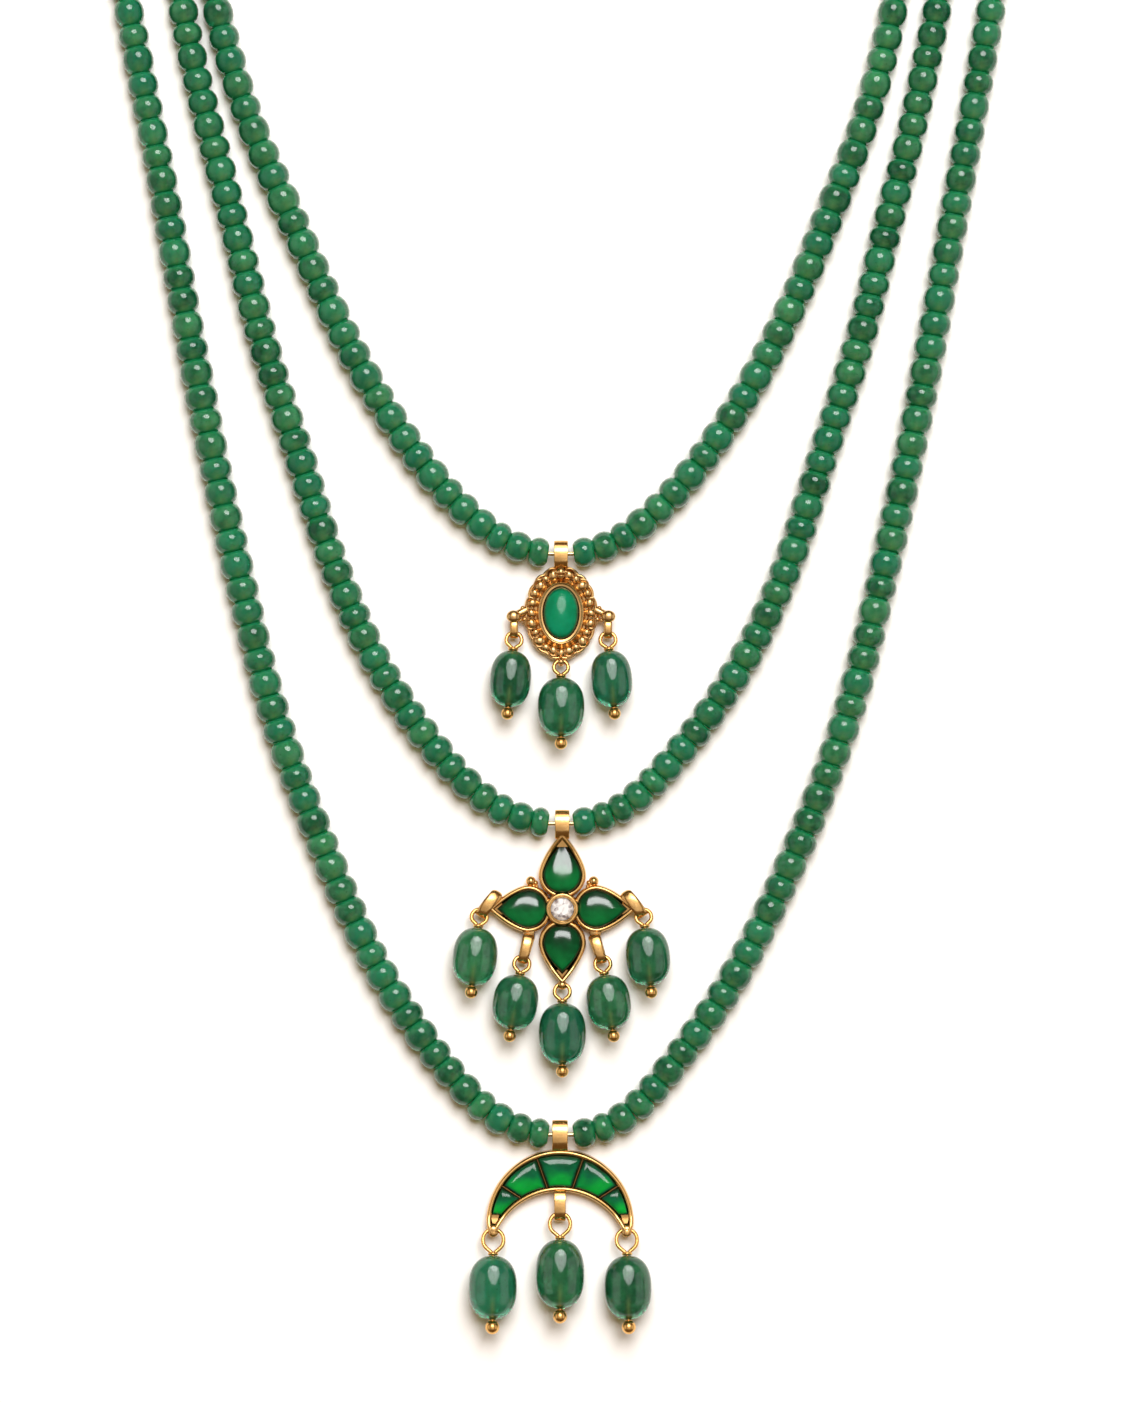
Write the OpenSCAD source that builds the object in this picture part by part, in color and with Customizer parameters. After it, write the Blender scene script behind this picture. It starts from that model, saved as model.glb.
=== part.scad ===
// Three-strand necklace of green stone beads, laid flat, with an oval, a flower and a crescent pendant.
// It lies on the surface z = 0, with +X to the wearer's left, +Y towards the clasp and +Z up.
// The origin is on that surface, at the middle of the outline. Sizes are in millimetres.

/* [Strands] */
// Largest radius of a strand bead
bead_r = 3.2; // [3.0:0.05:3.3]
// Radius of the strand beads beside a bail
bead_r_at_bail = 2.8; // [2.7:0.05:2.95]
// Radius of the strand beads towards the clasp
bead_r_at_back = 2.9; // [2.8:0.05:3.0]
// Clear space left between neighbouring beads
bead_clear = 0.16; // [0.12:0.01:0.3]
// Radius of the hole through a strand bead
bead_bore_r = 0.65; // [0.6:0.05:0.8]
// Radius of the stringing wire
thread_r = 0.45; // [0.35:0.05:0.5]
// Bare wire on each side of a pendant's middle, where its bail hangs
bare_half = 2.5; // [2.3:0.1:2.8]

/* [Drops] */
// Lift of a drop from its eye to its head, because its bead is thicker than the setting
drop_tilt = 12; // [9:1:14]
// Radius of the wire of a head pin
pin_r = 0.36; // [0.3:0.02:0.38]
// Radius of the hole through a drop's bead
drop_bore_r = 0.52; // [0.5:0.02:0.6]
// Wall of the strap hooks that hold the eyes
hook_wall = 0.45; // [0.4:0.05:0.5]
// Half the height of a strap hook, outside
hook_half_z = 1.4; // [1.3:0.05:1.5]

/* [Settings] */
// Thickness of the back plates
plate_t = 1.5; // [1.2:0.1:1.7]
// Height of the walls that hold the stones
wall_top = 3.0; // [2.8:0.1:3.2]
// Thickness of those walls
wall_t = 0.7; // [0.6:0.05:0.8]
// Clear space between a stone and its setting
stone_clear = 0.15; // [0.12:0.01:0.18]
// Half the height of a bail, outside
bail_half_z = 1.85; // [1.75:0.05:1.95]
// Wall of a bail
bail_wall = 0.65; // [0.5:0.05:0.7]

/* [Hidden] */
$fn = 48;
overlap = 0.2; // how far soldered pieces run into each other

// Where each strand's wire runs across at its lowest, and the middle of the pendant that hangs there
inner_wire_y = -25;
middle_wire_y = -79;
outer_wire_y = -141.2;
OVAL_AT = [0, inner_wire_y - 11.8];
FLOWER_AT = [0.25, middle_wire_y - 17];
CRESCENT_AT = [-0.2, outer_wire_y - 17.8];

// The front stretch, of loose beads, ends at this height
front_end_y = 85.8;

// Half of each strand's line, chosen by hand from its lowest point round to the clasp
clasp_half_x = 6;
clasp_socket = 1.6;
clasp_gap = 0.35;
strand_end_x = clasp_half_x + clasp_socket;
inner_end_y = 164;
middle_end_y = 171;
outer_end_y = 178;
INNER_LINE = [[0, inner_wire_y], [11, -22.6], [23.5, -12], [35.5, 4.5], [45, 22], [54.2, 43.5], [62.8, 65.5],
    [68.8, 90], [70.5, 111], [63.5, 133.5], [47.5, 151], [27, 161], [strand_end_x, inner_end_y]];
MIDDLE_LINE = [[0, middle_wire_y], [13, -75.5], [25.5, -63], [37, -46], [45.5, -27], [52.5, -5], [59.8, 18],
    [65.6, 41.8], [71.7, 66], [76.4, 90], [78, 113], [70.5, 137.5], [52.6, 156.8], [30, 168],
    [strand_end_x, middle_end_y]];
OUTER_LINE = [[0, outer_wire_y], [13, -137.6], [26, -123.2], [37.4, -105.5], [48, -82.4], [57.4, -57],
    [64, -31], [69.8, -4.5], [75, 22.5], [79.8, 49.5], [84.6, 75], [88, 98], [86, 121], [76, 143.5],
    [57.5, 162], [32, 174.5], [strand_end_x, outer_end_y]];

// No strand lies quite even: how far both halves lean along X at each height, for lookup()
INNER_LEAN = [[30, 0], [60, -0.7], [86, -1.2], [120, -1], [155, 0]];
MIDDLE_LEAN = [[-79, 0], [-68, -0.5], [-50, -0.3], [-30, 0], [55, 0], [75, -0.3], [110, 0]];
OUTER_LEAN = [[-141, 0], [-127, -0.6], [-105, -0.4], [-80, 0], [55, 0], [86, -0.3], [110, 0]];

// One row a strand: its name, its line, its lean, the loose beads of one half, and a turn that varies them
NAME = 0;
LINE = 1;
LEAN_X = 2;
COUNT = 3;
VARY = 4;
STRANDS = [
    ["inner", INNER_LINE, INNER_LEAN, 28, 20],
    ["middle", MIDDLE_LINE, MIDDLE_LEAN, 41, 75],
    ["outer", OUTER_LINE, OUTER_LEAN, 52, 140]
];
golden_turn = 137.508; // sizes that follow this angle never repeat
line_steps = 8; // straight steps between two points of a line

// One row a drop: its name, its eye's middle, its lean, its bead's radius and half length, the distance from
// eye to bead, the eye's and the head's radius, and its hook's turn, width and length back to the setting
EYE = 1;
LEAN = 2;
DROP_R = 3;
DROP_HALF = 4;
REACH = 5;
EYE_R = 6;
HEAD_R = 7;
HOOK_TURN = 8;
HOOK_W = 9;
HOOK_BACK = 10;
DROPS = [
    ["oval_drop_left", OVAL_AT + [-9.4, -5.4], -5, 4.15, 5.7, 8, 1.54, 1.25, 5, 1.4, 3.2],
    ["oval_drop_centre", OVAL_AT + [0, -10.9], 0, 4.7, 5.95, 8.1, 1.42, 1.27, 0, 1.2, 2.2],
    ["oval_drop_right", OVAL_AT + [9.4, -5.4], 5, 4.15, 5.7, 8, 1.54, 1.25, -5, 1.4, 3.2],
    ["flower_drop_outer_left", FLOWER_AT + [-16.6, -1.6], -6, 4.5, 5.8, 8.1, 1.54, 1.27, -26, 1.8, 6],
    ["flower_drop_inner_left", FLOWER_AT + [-8.1, -11], -9.5, 4.55, 5.5, 7.85, 1.54, 1.25, -5, 1.8, 5.4],
    ["flower_drop_centre", FLOWER_AT + [0, -16.5], 0, 4.75, 6.15, 8.55, 1.54, 1.27, 0, 1.2, 2.4],
    ["flower_drop_inner_right", FLOWER_AT + [8.1, -11], 8.5, 4.45, 5.5, 7.85, 1.54, 1.25, 6, 1.8, 5.4],
    ["flower_drop_outer_right", FLOWER_AT + [16.3, -1.6], 5.5, 4.5, 5.8, 8.1, 1.54, 1.27, 26.5, 1.8, 6],
    ["crescent_drop_left", CRESCENT_AT + [-13.35, -3.1], -0.5, 4.85, 6.35, 9.65, 2.06, 1.43, 0, 1.6, 2.8],
    ["crescent_drop_centre", CRESCENT_AT + [0, 0.1], 0, 4.9, 6.9, 10.15, 2.06, 1.43, 0, 2.4, 4.9],
    ["crescent_drop_right", CRESCENT_AT + [13.35, -3.1], 1.2, 4.75, 6.35, 9.65, 2.06, 1.43, 0, 1.6, 2.8]
];
drop_gap = 0.12; // between a drop's bead and the collar and head that hold it
hook_clear = 0.25; // between an eye and the end of its hook
collar_r = 1.05;
collar_len = 0.7;
drop_round = 2.4; // 2 would be a true ellipse, and more is squarer
profile_turn = 15; // degrees between the points of a drop's outline

// The oval pendant
oval_edge = [7, 9.05];
oval_waves = 14;
oval_wave_depth = 0.25;
oval_edge_wall = 0.5;
oval_edge_rise = 0.7;
oval_bezel = [4.6, 6.15];
oval_ledge = [3.95, 5.5];
oval_seat = [3.45, 5.1];
oval_grains = 28;
oval_grain_line = [5.55, 7.55];
oval_grain_r = 0.78;
oval_lug = [9.55, -1.1];
oval_lug_r = 1.2;
oval_lug_z = 2;
oval_arm_r = 0.75;
oval_finial_r = 0.7;
oval_dome = 2.3;

// The flower pendant
petal_tip = 14.4;
petal_middle = 6.9;
petal_r = 4.75;
petal_sides = 1.6; // how full a petal's sides are towards its tip
petal_stone_tip = 12.2;
petal_stone_r = 3.6;
petal_dome = 2.1;
collet_r = 3.35;
collet_bore_r = 2.46;
collet_top = 3.7;
brilliant_r = 2.3;
brilliant_table_r = 1.3;
brilliant_girdle_z = 2.9;
brilliant_girdle_t = 0.15;
brilliant_crown = 0.75;
brilliant_pavilion = 1.25;
shoulder_grain = [6.3, 5.7];
shoulder_grain_r = 0.83;
flower_hook_seats = [[12.9, 2.6], [7.3, -5.1]]; // where the hooks are soldered to the petals' edges
flower_seat_r = 1.25;
flower_seat_t = 2;

// The crescent pendant
crescent_r = 14.83;
crescent_hollow_r = 13.7;
crescent_hollow_y = -6.76;
crescent_end_y = -0.4;
crescent_tip_y = 1; // below this the tips are solid
crescent_rim = 0.9;
crescent_bars = [-57, -19.5, 19.5, 57];
crescent_stone_end = 83;
crescent_dome = 0.9;
bar_t = 0.36;
CRESCENT_STONES = [
    ["crescent_stone_end_left", -crescent_stone_end, -57],
    ["crescent_stone_left", -57, -19.5],
    ["crescent_stone_centre", -19.5, 19.5],
    ["crescent_stone_right", 19.5, 57],
    ["crescent_stone_end_right", 57, crescent_stone_end]
];
PETAL_STONES = [["petal_stone_top", 0], ["petal_stone_left", 90], ["petal_stone_bottom", 180],
    ["petal_stone_right", 270]];

// Lines and the places along them

// A smooth curve through points b and c, with a and d as their outer neighbours
function between(a, b, c, d, t) = 0.5 * (2 * b + (c - a) * t + (2 * a - 5 * b + 4 * c - d) * t * t
    + (3 * b - a - 3 * c + d) * t * t * t);

function mirrored(p) = [-p[0], p[1]];

// The fine points of a half line, which its mirror image continues at both ends
function fine(line) = let (p = concat([mirrored(line[1])], line, [mirrored(line[len(line) - 2])]))
    concat([for (i = [1:len(p) - 3]) for (k = [0:line_steps - 1])
        between(p[i - 1], p[i], p[i + 1], p[i + 2], k / line_steps)], [line[len(line) - 1]]);

function running(v, i = 0, sum = 0, out = []) =
    i == len(v) ? out : running(v, i + 1, sum + v[i], concat(out, [sum + v[i]]));

function lengths(points) = concat([0],
    running([for (i = [1:len(points) - 1]) norm(points[i] - points[i - 1])]));

// Length along a line, against x and against y, for lookup()
function by_axis(points, axis) = let (s = lengths(points))
    [for (i = [0:len(points) - 1]) [s[i], points[i][axis]]];

function length_at_y(points, y) = let (s = lengths(points),
    i = min([for (k = [1:len(points) - 1]) if (points[k][1] >= y) k]),
    part = (y - points[i - 1][1]) / (points[i][1] - points[i - 1][1]))
    s[i - 1] + part * (s[i] - s[i - 1]);

// Radius of the strand at length s, which is also the height of its wire
function strand_r(s, s_front) = lookup(s, [[0, bead_r_at_bail], [12, (bead_r_at_bail + 2 * bead_r) / 3],
    [35, bead_r], [0.7 * s_front, bead_r], [s_front, bead_r_at_back]]);

// Where bead j of a half begins, as a share of the half. Beads near the bail are shorter
function bead_share(count, vary) = let (
    w = [for (j = [0:count - 1]) 1 - 0.16 * exp(-j / 5) + 0.1 * sin(golden_turn * j + vary)],
    sums = running(w)) concat([0], [for (v = sums) v / sums[count - 1]]);

// The joints between the beads of one half, from the bail outwards
function joints(row, side) = let (
    points = fine(row[LINE]), xs = by_axis(points, 0), ys = by_axis(points, 1),
    s_front = length_at_y(points, front_end_y))
    [for (share = bead_share(row[COUNT], row[VARY] * side))
        let (s = bare_half + share * (s_front - bare_half), y = lookup(s, ys))
        [side * lookup(s, xs) + lookup(y, row[LEAN_X]), y, strand_r(s, s_front)]];

function turn_at(p, i) = i <= 0 || i >= len(p) - 1 ? 0 :
    let (a = p[i] - p[i - 1], b = p[i + 1] - p[i]) acos(min(1, (a * b) / (norm(a) * norm(b))));

// A bead's radius keeps within the strand's, so that none reaches below the surface
function bead_radius(p, j, vary) =
    min(p[j][2], p[j + 1][2]) * (0.975 - 0.02 * sin(golden_turn * 3 * j + vary));

// A bead's length leaves the clear space at its tighter bend
function bead_length(p, j, r) = norm(p[j + 1] - p[j]) - bead_clear
    - 1.5 * r * tan(max(turn_at(p, j), turn_at(p, j + 1)) / 2);

module along(direction) {
    rotate([0, acos(direction[2] / norm(direction)), atan2(direction[1], direction[0])]) children();
}

// A closed round tube through the points, for wire and for plain stretches of strand
module tube(points, r, sides) {
    count = len(points);
    ahead = [for (i = [0:count - 1]) points[min(i + 1, count - 1)] - points[max(i - 1, 0)]];
    rings = [for (i = [0:count - 1]) let (across = cross(ahead[i], [0, 0, 1]), n = across / norm(across))
        for (k = [0:sides - 1]) let (a = 360 * k / sides) points[i] + r * (cos(a) * n + sin(a) * [0, 0, 1])];
    walls = [for (i = [0:count - 2]) for (k = [0:sides - 1]) let (n = (k + 1) % sides)
        [i * sides + k, i * sides + n, (i + 1) * sides + n, (i + 1) * sides + k]];
    ends = [[for (k = [sides - 1:-1:0]) k], [for (k = [0:sides - 1]) (count - 1) * sides + k]];
    polyhedron(points = rings, faces = concat(walls, ends), convexity = 6);
}

// Strands

// A round bead with two flat ends, drilled along Z
module strand_bead(r, length) {
    difference() {
        intersection() {
            sphere(r);
            cube([2 * r + 1, 2 * r + 1, length], center = true);
        }
        cylinder(h = length + 1, r = bead_bore_r, center = true);
    }
}

module front_beads(row) {
    color("seagreen") for (side = [-1, 1]) {
        p = joints(row, side);
        for (j = [0:row[COUNT] - 1]) {
            r = bead_radius(p, j, row[VARY] * side);
            translate((p[j] + p[j + 1]) / 2) along(p[j + 1] - p[j]) strand_bead(r, bead_length(p, j, r));
        }
    }
}

module thread(row) {
    left = joints(row, -1);
    right = joints(row, 1);
    color("goldenrod") tube(concat([for (i = [len(left) - 1:-1:0]) left[i]], right), thread_r, 6);
}

// The plain tube that stands for the hidden beads, from the last loose bead to the clasp
module back_strand(row) {
    points = fine(row[LINE]);
    xs = by_axis(points, 0);
    ys = by_axis(points, 1);
    s_front = length_at_y(points, front_end_y) + bead_clear;
    s_end = lengths(points)[len(points) - 1] - clasp_gap;
    rings = round((s_end - s_front) / (2.6 * 2 * bead_r_at_back));
    color("seagreen") for (side = [-1, 1])
        tube([for (i = [0:rings]) let (s = s_front + (s_end - s_front) * i / rings, y = lookup(s, ys))
            [side * lookup(s, xs) + lookup(y, row[LEAN_X]), y, bead_r_at_back]], bead_r_at_back, 12);
}

// An outline with full, rounded sides: 2 gives an ellipse, and more is squarer
function rounded(half, power, sides) = [for (k = [0:sides - 1])
    let (a = 360 * k / sides, x = pow(abs(cos(a)), 2 / power), y = pow(abs(sin(a)), 2 / power))
    [half[0] * sign(cos(a)) * x, half[1] * sign(sin(a)) * y]];

// The clasp that closes all three strands: one plain block with a socket for each wire
clasp_half_y = 10.4;
clasp_half_z = 2.1;
socket_r = 1.4;
module clasp() {
    color("goldenrod") {
        translate([0, middle_end_y, bead_r_at_back - clasp_half_z]) linear_extrude(2 * clasp_half_z)
            polygon(rounded([clasp_half_x, clasp_half_y], 6, 40));
        for (side = [-1, 1]) for (y = [inner_end_y, middle_end_y, outer_end_y])
            translate([side * (clasp_half_x - 1), y, bead_r_at_back]) rotate([0, side * 90, 0])
                cylinder(h = clasp_socket + 1, r = socket_r);
    }
}

// Drops

// Half of a bead's outline, from its lower end to its upper one, as distance out and place along its pin
function drop_outline(d) = [for (a = [-90:profile_turn:90])
    let (out = pow(cos(a), 2 / drop_round), up = sign(sin(a)) * pow(abs(sin(a)), 2 / drop_round))
    [d[DROP_R] * out, d[DROP_HALF] * up]];

// Height of a bead's middle when it lies tilted on the surface
function lying_height(d) = max([for (p = drop_outline(d)) p[0] * cos(drop_tilt) + p[1] * sin(drop_tilt)]);

function eye_z(d) = lying_height(d) - d[REACH] * sin(drop_tilt);

// A drop's own frame has its eye at the origin, flat in XY, and its pin along -Y
module place_drop(d) {
    translate([d[EYE][0], d[EYE][1], eye_z(d)]) rotate([0, 0, d[LEAN]]) rotate([-drop_tilt, 0, 0]) children();
}

module drop_bead(d) {
    color("mediumseagreen") place_drop(d) translate([0, -d[REACH], 0]) rotate([-90, 0, 0]) difference() {
        rotate_extrude() polygon(drop_outline(d));
        cylinder(h = 3 * d[DROP_HALF], r = drop_bore_r, center = true);
    }
}

module drop_pin(d) {
    bead_top = d[REACH] - d[DROP_HALF] - drop_gap;
    head = d[REACH] + d[DROP_HALF] + drop_gap + d[HEAD_R];
    color("gold") place_drop(d) {
        rotate_extrude() translate([d[EYE_R], 0]) circle(pin_r);
        rotate([90, 0, 0]) {
            translate([0, 0, d[EYE_R]]) cylinder(h = head - d[EYE_R], r = pin_r * 0.99);
            translate([0, 0, bead_top - collar_len]) cylinder(h = collar_len, r = collar_r);
            translate([0, 0, head]) sphere(d[HEAD_R]);
        }
    }
}

// Where a drop's eye passes through its hook, in the necklace's frame
function hook_point(d) = let (a = d[HOOK_TURN], l = d[LEAN],
    x = -d[EYE_R] * sin(a), y = d[EYE_R] * cos(a) * cos(drop_tilt), z = -d[EYE_R] * cos(a) * sin(drop_tilt))
    [d[EYE][0] + x * cos(l) - y * sin(l), d[EYE][1] + x * sin(l) + y * cos(l), eye_z(d) + z];

// A flat strap bent into a long loop in the YZ plane, from y = -ahead to y = back, and centred across X
module strap(ahead, back, half_z, wall, width) {
    rotate([90, 0, 90]) translate([0, 0, -width / 2]) linear_extrude(width)
        translate([(back - ahead) / 2, 0]) difference() {
            polygon(rounded([(back + ahead) / 2, half_z], 2.6, 36));
            polygon(rounded([(back + ahead) / 2 - wall, half_z - wall], 2.6, 36));
        }
}

// The hook of one drop, deep enough for the inner curve of the eye across the strap's width
module hook(d) {
    eye_inside = d[EYE_R] - sqrt(pow(d[EYE_R] - pin_r, 2) - pow(d[HOOK_W] / 2, 2));
    translate(hook_point(d)) rotate([0, 0, d[LEAN] + d[HOOK_TURN]])
        strap(eye_inside + hook_clear + hook_wall, d[HOOK_BACK], hook_half_z, hook_wall, d[HOOK_W]);
}

module hooks(first, last) {
    for (i = [first:last]) hook(DROPS[i]);
}

// A bail round the wire at y = 0, reaching below it to its setting
module bail(above, below, width) {
    translate([0, 0, bead_r_at_bail]) strap(below, above, bail_half_z, bail_wall, width);
}

// Oval pendant

function ring_points(half, sides, waves = 0, depth = 0) = [for (k = [0:sides - 1]) let (a = 360 * k / sides,
    wave = depth * cos(waves * a)) [(half[0] + wave) * cos(a), (half[1] + wave) * sin(a)]];

module oval_scallops(half) {
    polygon(ring_points(half, 6 * oval_waves, oval_waves, oval_wave_depth));
}

module oval_rim(outer, inner, bottom, top) {
    translate([0, 0, bottom]) linear_extrude(top - bottom) difference() {
        polygon(ring_points(outer, 48));
        polygon(ring_points(inner, 48));
    }
}

// A round lug beside the oval, with the arm that carries it
module oval_lug_and_arm(side) {
    translate([side * oval_lug[0], oval_lug[1], oval_lug_z]) {
        sphere(oval_lug_r);
        rotate([0, -side * 90, 0]) cylinder(h = oval_lug[0] - oval_edge[0] + 1, r = oval_arm_r);
    }
}

module oval_setting() {
    color("goldenrod") {
        translate(OVAL_AT) {
            linear_extrude(plate_t) oval_scallops(oval_edge);
            linear_extrude(plate_t + oval_edge_rise) difference() {
                oval_scallops(oval_edge);
                oval_scallops(oval_edge - [oval_edge_wall, oval_edge_wall]);
            }
            oval_rim(oval_bezel, oval_ledge, plate_t - overlap, wall_top + 0.2);
            oval_rim(oval_ledge + [0.1, 0.1], oval_seat, plate_t - overlap, wall_top - 0.7);
            for (i = [0:oval_grains - 1]) {
                a = 360 * (i + 0.5) / oval_grains;
                translate([oval_grain_line[0] * cos(a), oval_grain_line[1] * sin(a), plate_t + 0.2])
                    sphere(oval_grain_r * (i % 2 == 0 ? 1 : 0.8));
            }
            oval_finial();
            oval_lug_and_arm(-1);
            oval_lug_and_arm(1);
        }
        translate([OVAL_AT[0], inner_wire_y, 0]) bail(2.7, 3.5, 2.7);
        hooks(0, 2);
    }
}

// The small pointed bud where the bail meets the oval
module oval_finial() {
    translate([0, oval_edge[1] - 0.3, plate_t + 1]) {
        sphere(oval_finial_r);
        rotate([-90, 0, 0]) cylinder(h = 1.6 * oval_finial_r, r1 = 0.85 * oval_finial_r, r2 = 0.15);
    }
}

// A domed stone: its outline rises as a short wall, then closes in rings to its crown
module domed(outline, girdle, dome, rings = 5) {
    n = len(outline);
    shells = concat([[1, 0], [1, girdle]],
        [for (k = [1:rings]) let (a = 90 * k / (rings + 1)) [pow(cos(a), 0.8), girdle + dome * sin(a)]]);
    points = [for (s = shells) for (p = outline) [p[0] * s[0], p[1] * s[0], s[1]]];
    m = len(shells);
    walls = [for (i = [0:m - 2]) for (k = [0:n - 1]) let (q = (k + 1) % n)
        [i * n + k, (i + 1) * n + k, (i + 1) * n + q, i * n + q]];
    polyhedron(points = points,
        faces = concat(walls, [[for (k = [0:n - 1]) k], [for (k = [n - 1:-1:0]) (m - 1) * n + k]]));
}

module oval_cabochon() {
    seat = oval_seat - [stone_clear, stone_clear];
    color("green") translate([OVAL_AT[0], OVAL_AT[1], plate_t + stone_clear])
        domed(ring_points(seat, 28), 0.6, oval_dome);
}

// Flower pendant

// A petal pointing along +Y: a round base, and full sides that close to the tip
function petal_width(y, r, tip) = r * (1 - pow((y - petal_middle) / (tip - petal_middle), petal_sides));

function petal(r, tip) = let (side = [for (k = [0:7]) let (y = petal_middle + (tip - petal_middle) * k / 8)
    [petal_width(y, r, tip), y]])
    concat(side, [[0, tip]], [for (k = [7:-1:0]) mirrored(side[k])],
        [for (k = [1:11]) [-r * cos(15 * k), petal_middle - r * sin(15 * k)]]);

module petal_setting() {
    linear_extrude(plate_t) polygon(petal(petal_r, petal_tip));
    linear_extrude(wall_top) difference() {
        polygon(petal(petal_r, petal_tip));
        polygon(petal(petal_r - wall_t, petal_tip - 1.7 * wall_t));
    }
}

module flower_setting() {
    color("goldenrod") {
        translate(FLOWER_AT) {
            difference() {
                union() {
                    for (turn = [0:90:270]) rotate([0, 0, turn]) petal_setting();
                    cylinder(h = collet_top, r = collet_r);
                }
                translate([0, 0, plate_t]) cylinder(h = collet_top, r = collet_bore_r);
            }
            for (side = [-1, 1]) {
                translate([side * shoulder_grain[0], shoulder_grain[1], 1.9]) sphere(shoulder_grain_r);
                translate([side * (shoulder_grain[0] - 0.9), shoulder_grain[1] - 1, 1.5])
                    sphere(shoulder_grain_r);
                for (seat = flower_hook_seats) translate([side * seat[0], seat[1], 0])
                    cylinder(h = flower_seat_t, r = flower_seat_r);
            }
        }
        translate([FLOWER_AT[0], middle_wire_y, 0]) bail(2.75, 3.9, 2.85);
        hooks(3, 7);
    }
}

module petal_stone(turn) {
    outline = [for (p = petal(petal_stone_r, petal_stone_tip)) p - [0, petal_middle + 0.6]];
    color("darkgreen") translate([FLOWER_AT[0], FLOWER_AT[1], plate_t + stone_clear]) rotate([0, 0, turn])
        translate([0, petal_middle + 0.6, 0]) difference() {
            domed(outline, 0.7, petal_dome, 4);
            translate([0, -petal_middle - 0.6, -1]) cylinder(h = 6, r = collet_r + stone_clear);
        }
}

// A round brilliant: a table, a crown and a pavilion with 8 facets each
module flower_brilliant() {
    color("white") translate(FLOWER_AT) {
        translate([0, 0, brilliant_girdle_z + brilliant_girdle_t])
            cylinder(h = brilliant_crown, r1 = brilliant_r, r2 = brilliant_table_r, $fn = 8);
        translate([0, 0, brilliant_girdle_z]) cylinder(h = brilliant_girdle_t, r = brilliant_r, $fn = 8);
        translate([0, 0, brilliant_girdle_z - brilliant_pavilion])
            cylinder(h = brilliant_pavilion, r1 = 0.15, r2 = brilliant_r, $fn = 8);
    }
}

// Crescent pendant

// The crescent, with its rim taken in by inset
module crescent_flat(inset) {
    intersection() {
        difference() {
            circle(crescent_r - inset);
            translate([0, crescent_hollow_y]) circle(crescent_hollow_r + inset);
        }
        translate([-20, crescent_end_y + inset]) square([40, 20]);
    }
}

module crescent_setting() {
    color("goldenrod") {
        translate(CRESCENT_AT) {
            linear_extrude(plate_t) crescent_flat(0);
            linear_extrude(wall_top) difference() {
                crescent_flat(0);
                intersection() {
                    crescent_flat(crescent_rim);
                    translate([-20, crescent_tip_y]) square([40, 20]);
                }
            }
            intersection() {
                linear_extrude(wall_top - 0.3) crescent_flat(crescent_rim / 2);
                for (a = crescent_bars) rotate([0, 0, -a]) translate([-bar_t / 2, 3, 0])
                    cube([bar_t, crescent_r - 3, wall_top]);
            }
        }
        translate([CRESCENT_AT[0], outer_wire_y, 0]) bail(2.8, 3.9, 3);
        hooks(8, 10);
    }
}

// How far from the crescent's middle a stone reaches in and out, at an angle from straight up
crescent_stone_out = crescent_r - crescent_rim - stone_clear;
function crescent_stone_in(a) = crescent_hollow_y * cos(a)
    + sqrt(pow(crescent_hollow_r + crescent_rim + stone_clear, 2) - pow(crescent_hollow_y * sin(a), 2));

// A stone's outline between two bars, at angles from straight up, with its ends level with the bars
function crescent_outline(from, to, arc_steps = 6) = let (half_gap = bar_t / 2 + stone_clear,
    out_a = asin(half_gap / crescent_stone_out), in_a = asin(half_gap / crescent_stone_in((from + to) / 2)))
    concat(
        [for (i = [0:arc_steps]) let (a = to - out_a - (to - from - 2 * out_a) * i / arc_steps)
            crescent_stone_out * [sin(a), cos(a)]],
        [for (i = [0:arc_steps]) let (a = from + in_a + (to - from - 2 * in_a) * i / arc_steps)
            crescent_stone_in(a) * [sin(a), cos(a)]]);

// A low domed stone between two bars
module crescent_stone(from, to) {
    middle = (crescent_stone_out + crescent_stone_in((from + to) / 2)) / 2
        * [sin((from + to) / 2), cos((from + to) / 2)];
    color("green") translate([CRESCENT_AT[0] + middle[0], CRESCENT_AT[1] + middle[1], plate_t + stone_clear])
        domed([for (p = crescent_outline(from, to)) p - middle], 0.75, crescent_dome, 4);
}

for (s = STRANDS) {
    front_beads(s);
    thread(s);
    back_strand(s);
}
clasp();
oval_setting();
oval_cabochon();
flower_setting();
flower_brilliant();
crescent_setting();
for (p = PETAL_STONES) petal_stone(p[1]);
for (c = CRESCENT_STONES) crescent_stone(c[1], c[2]);
for (d = DROPS) {
    drop_bead(d);
    drop_pin(d);
}
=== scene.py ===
# %% [markdown]
# # A three-strand necklace of green stone beads
# The real necklace is three strings of polished green quartz on brass wire, closed by one clasp.
# From the front of each string hangs a gold pendant: an oval, a four-petalled flower and a crescent.
# Under them hang eleven drops, each an oval bead on a head pin.
# The solids come first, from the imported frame. Everything here dresses them, in the same place and size.

# %% The frame
import math

import bmesh
import bpy
import numpy as np
from mathutils import Matrix, Vector


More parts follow.
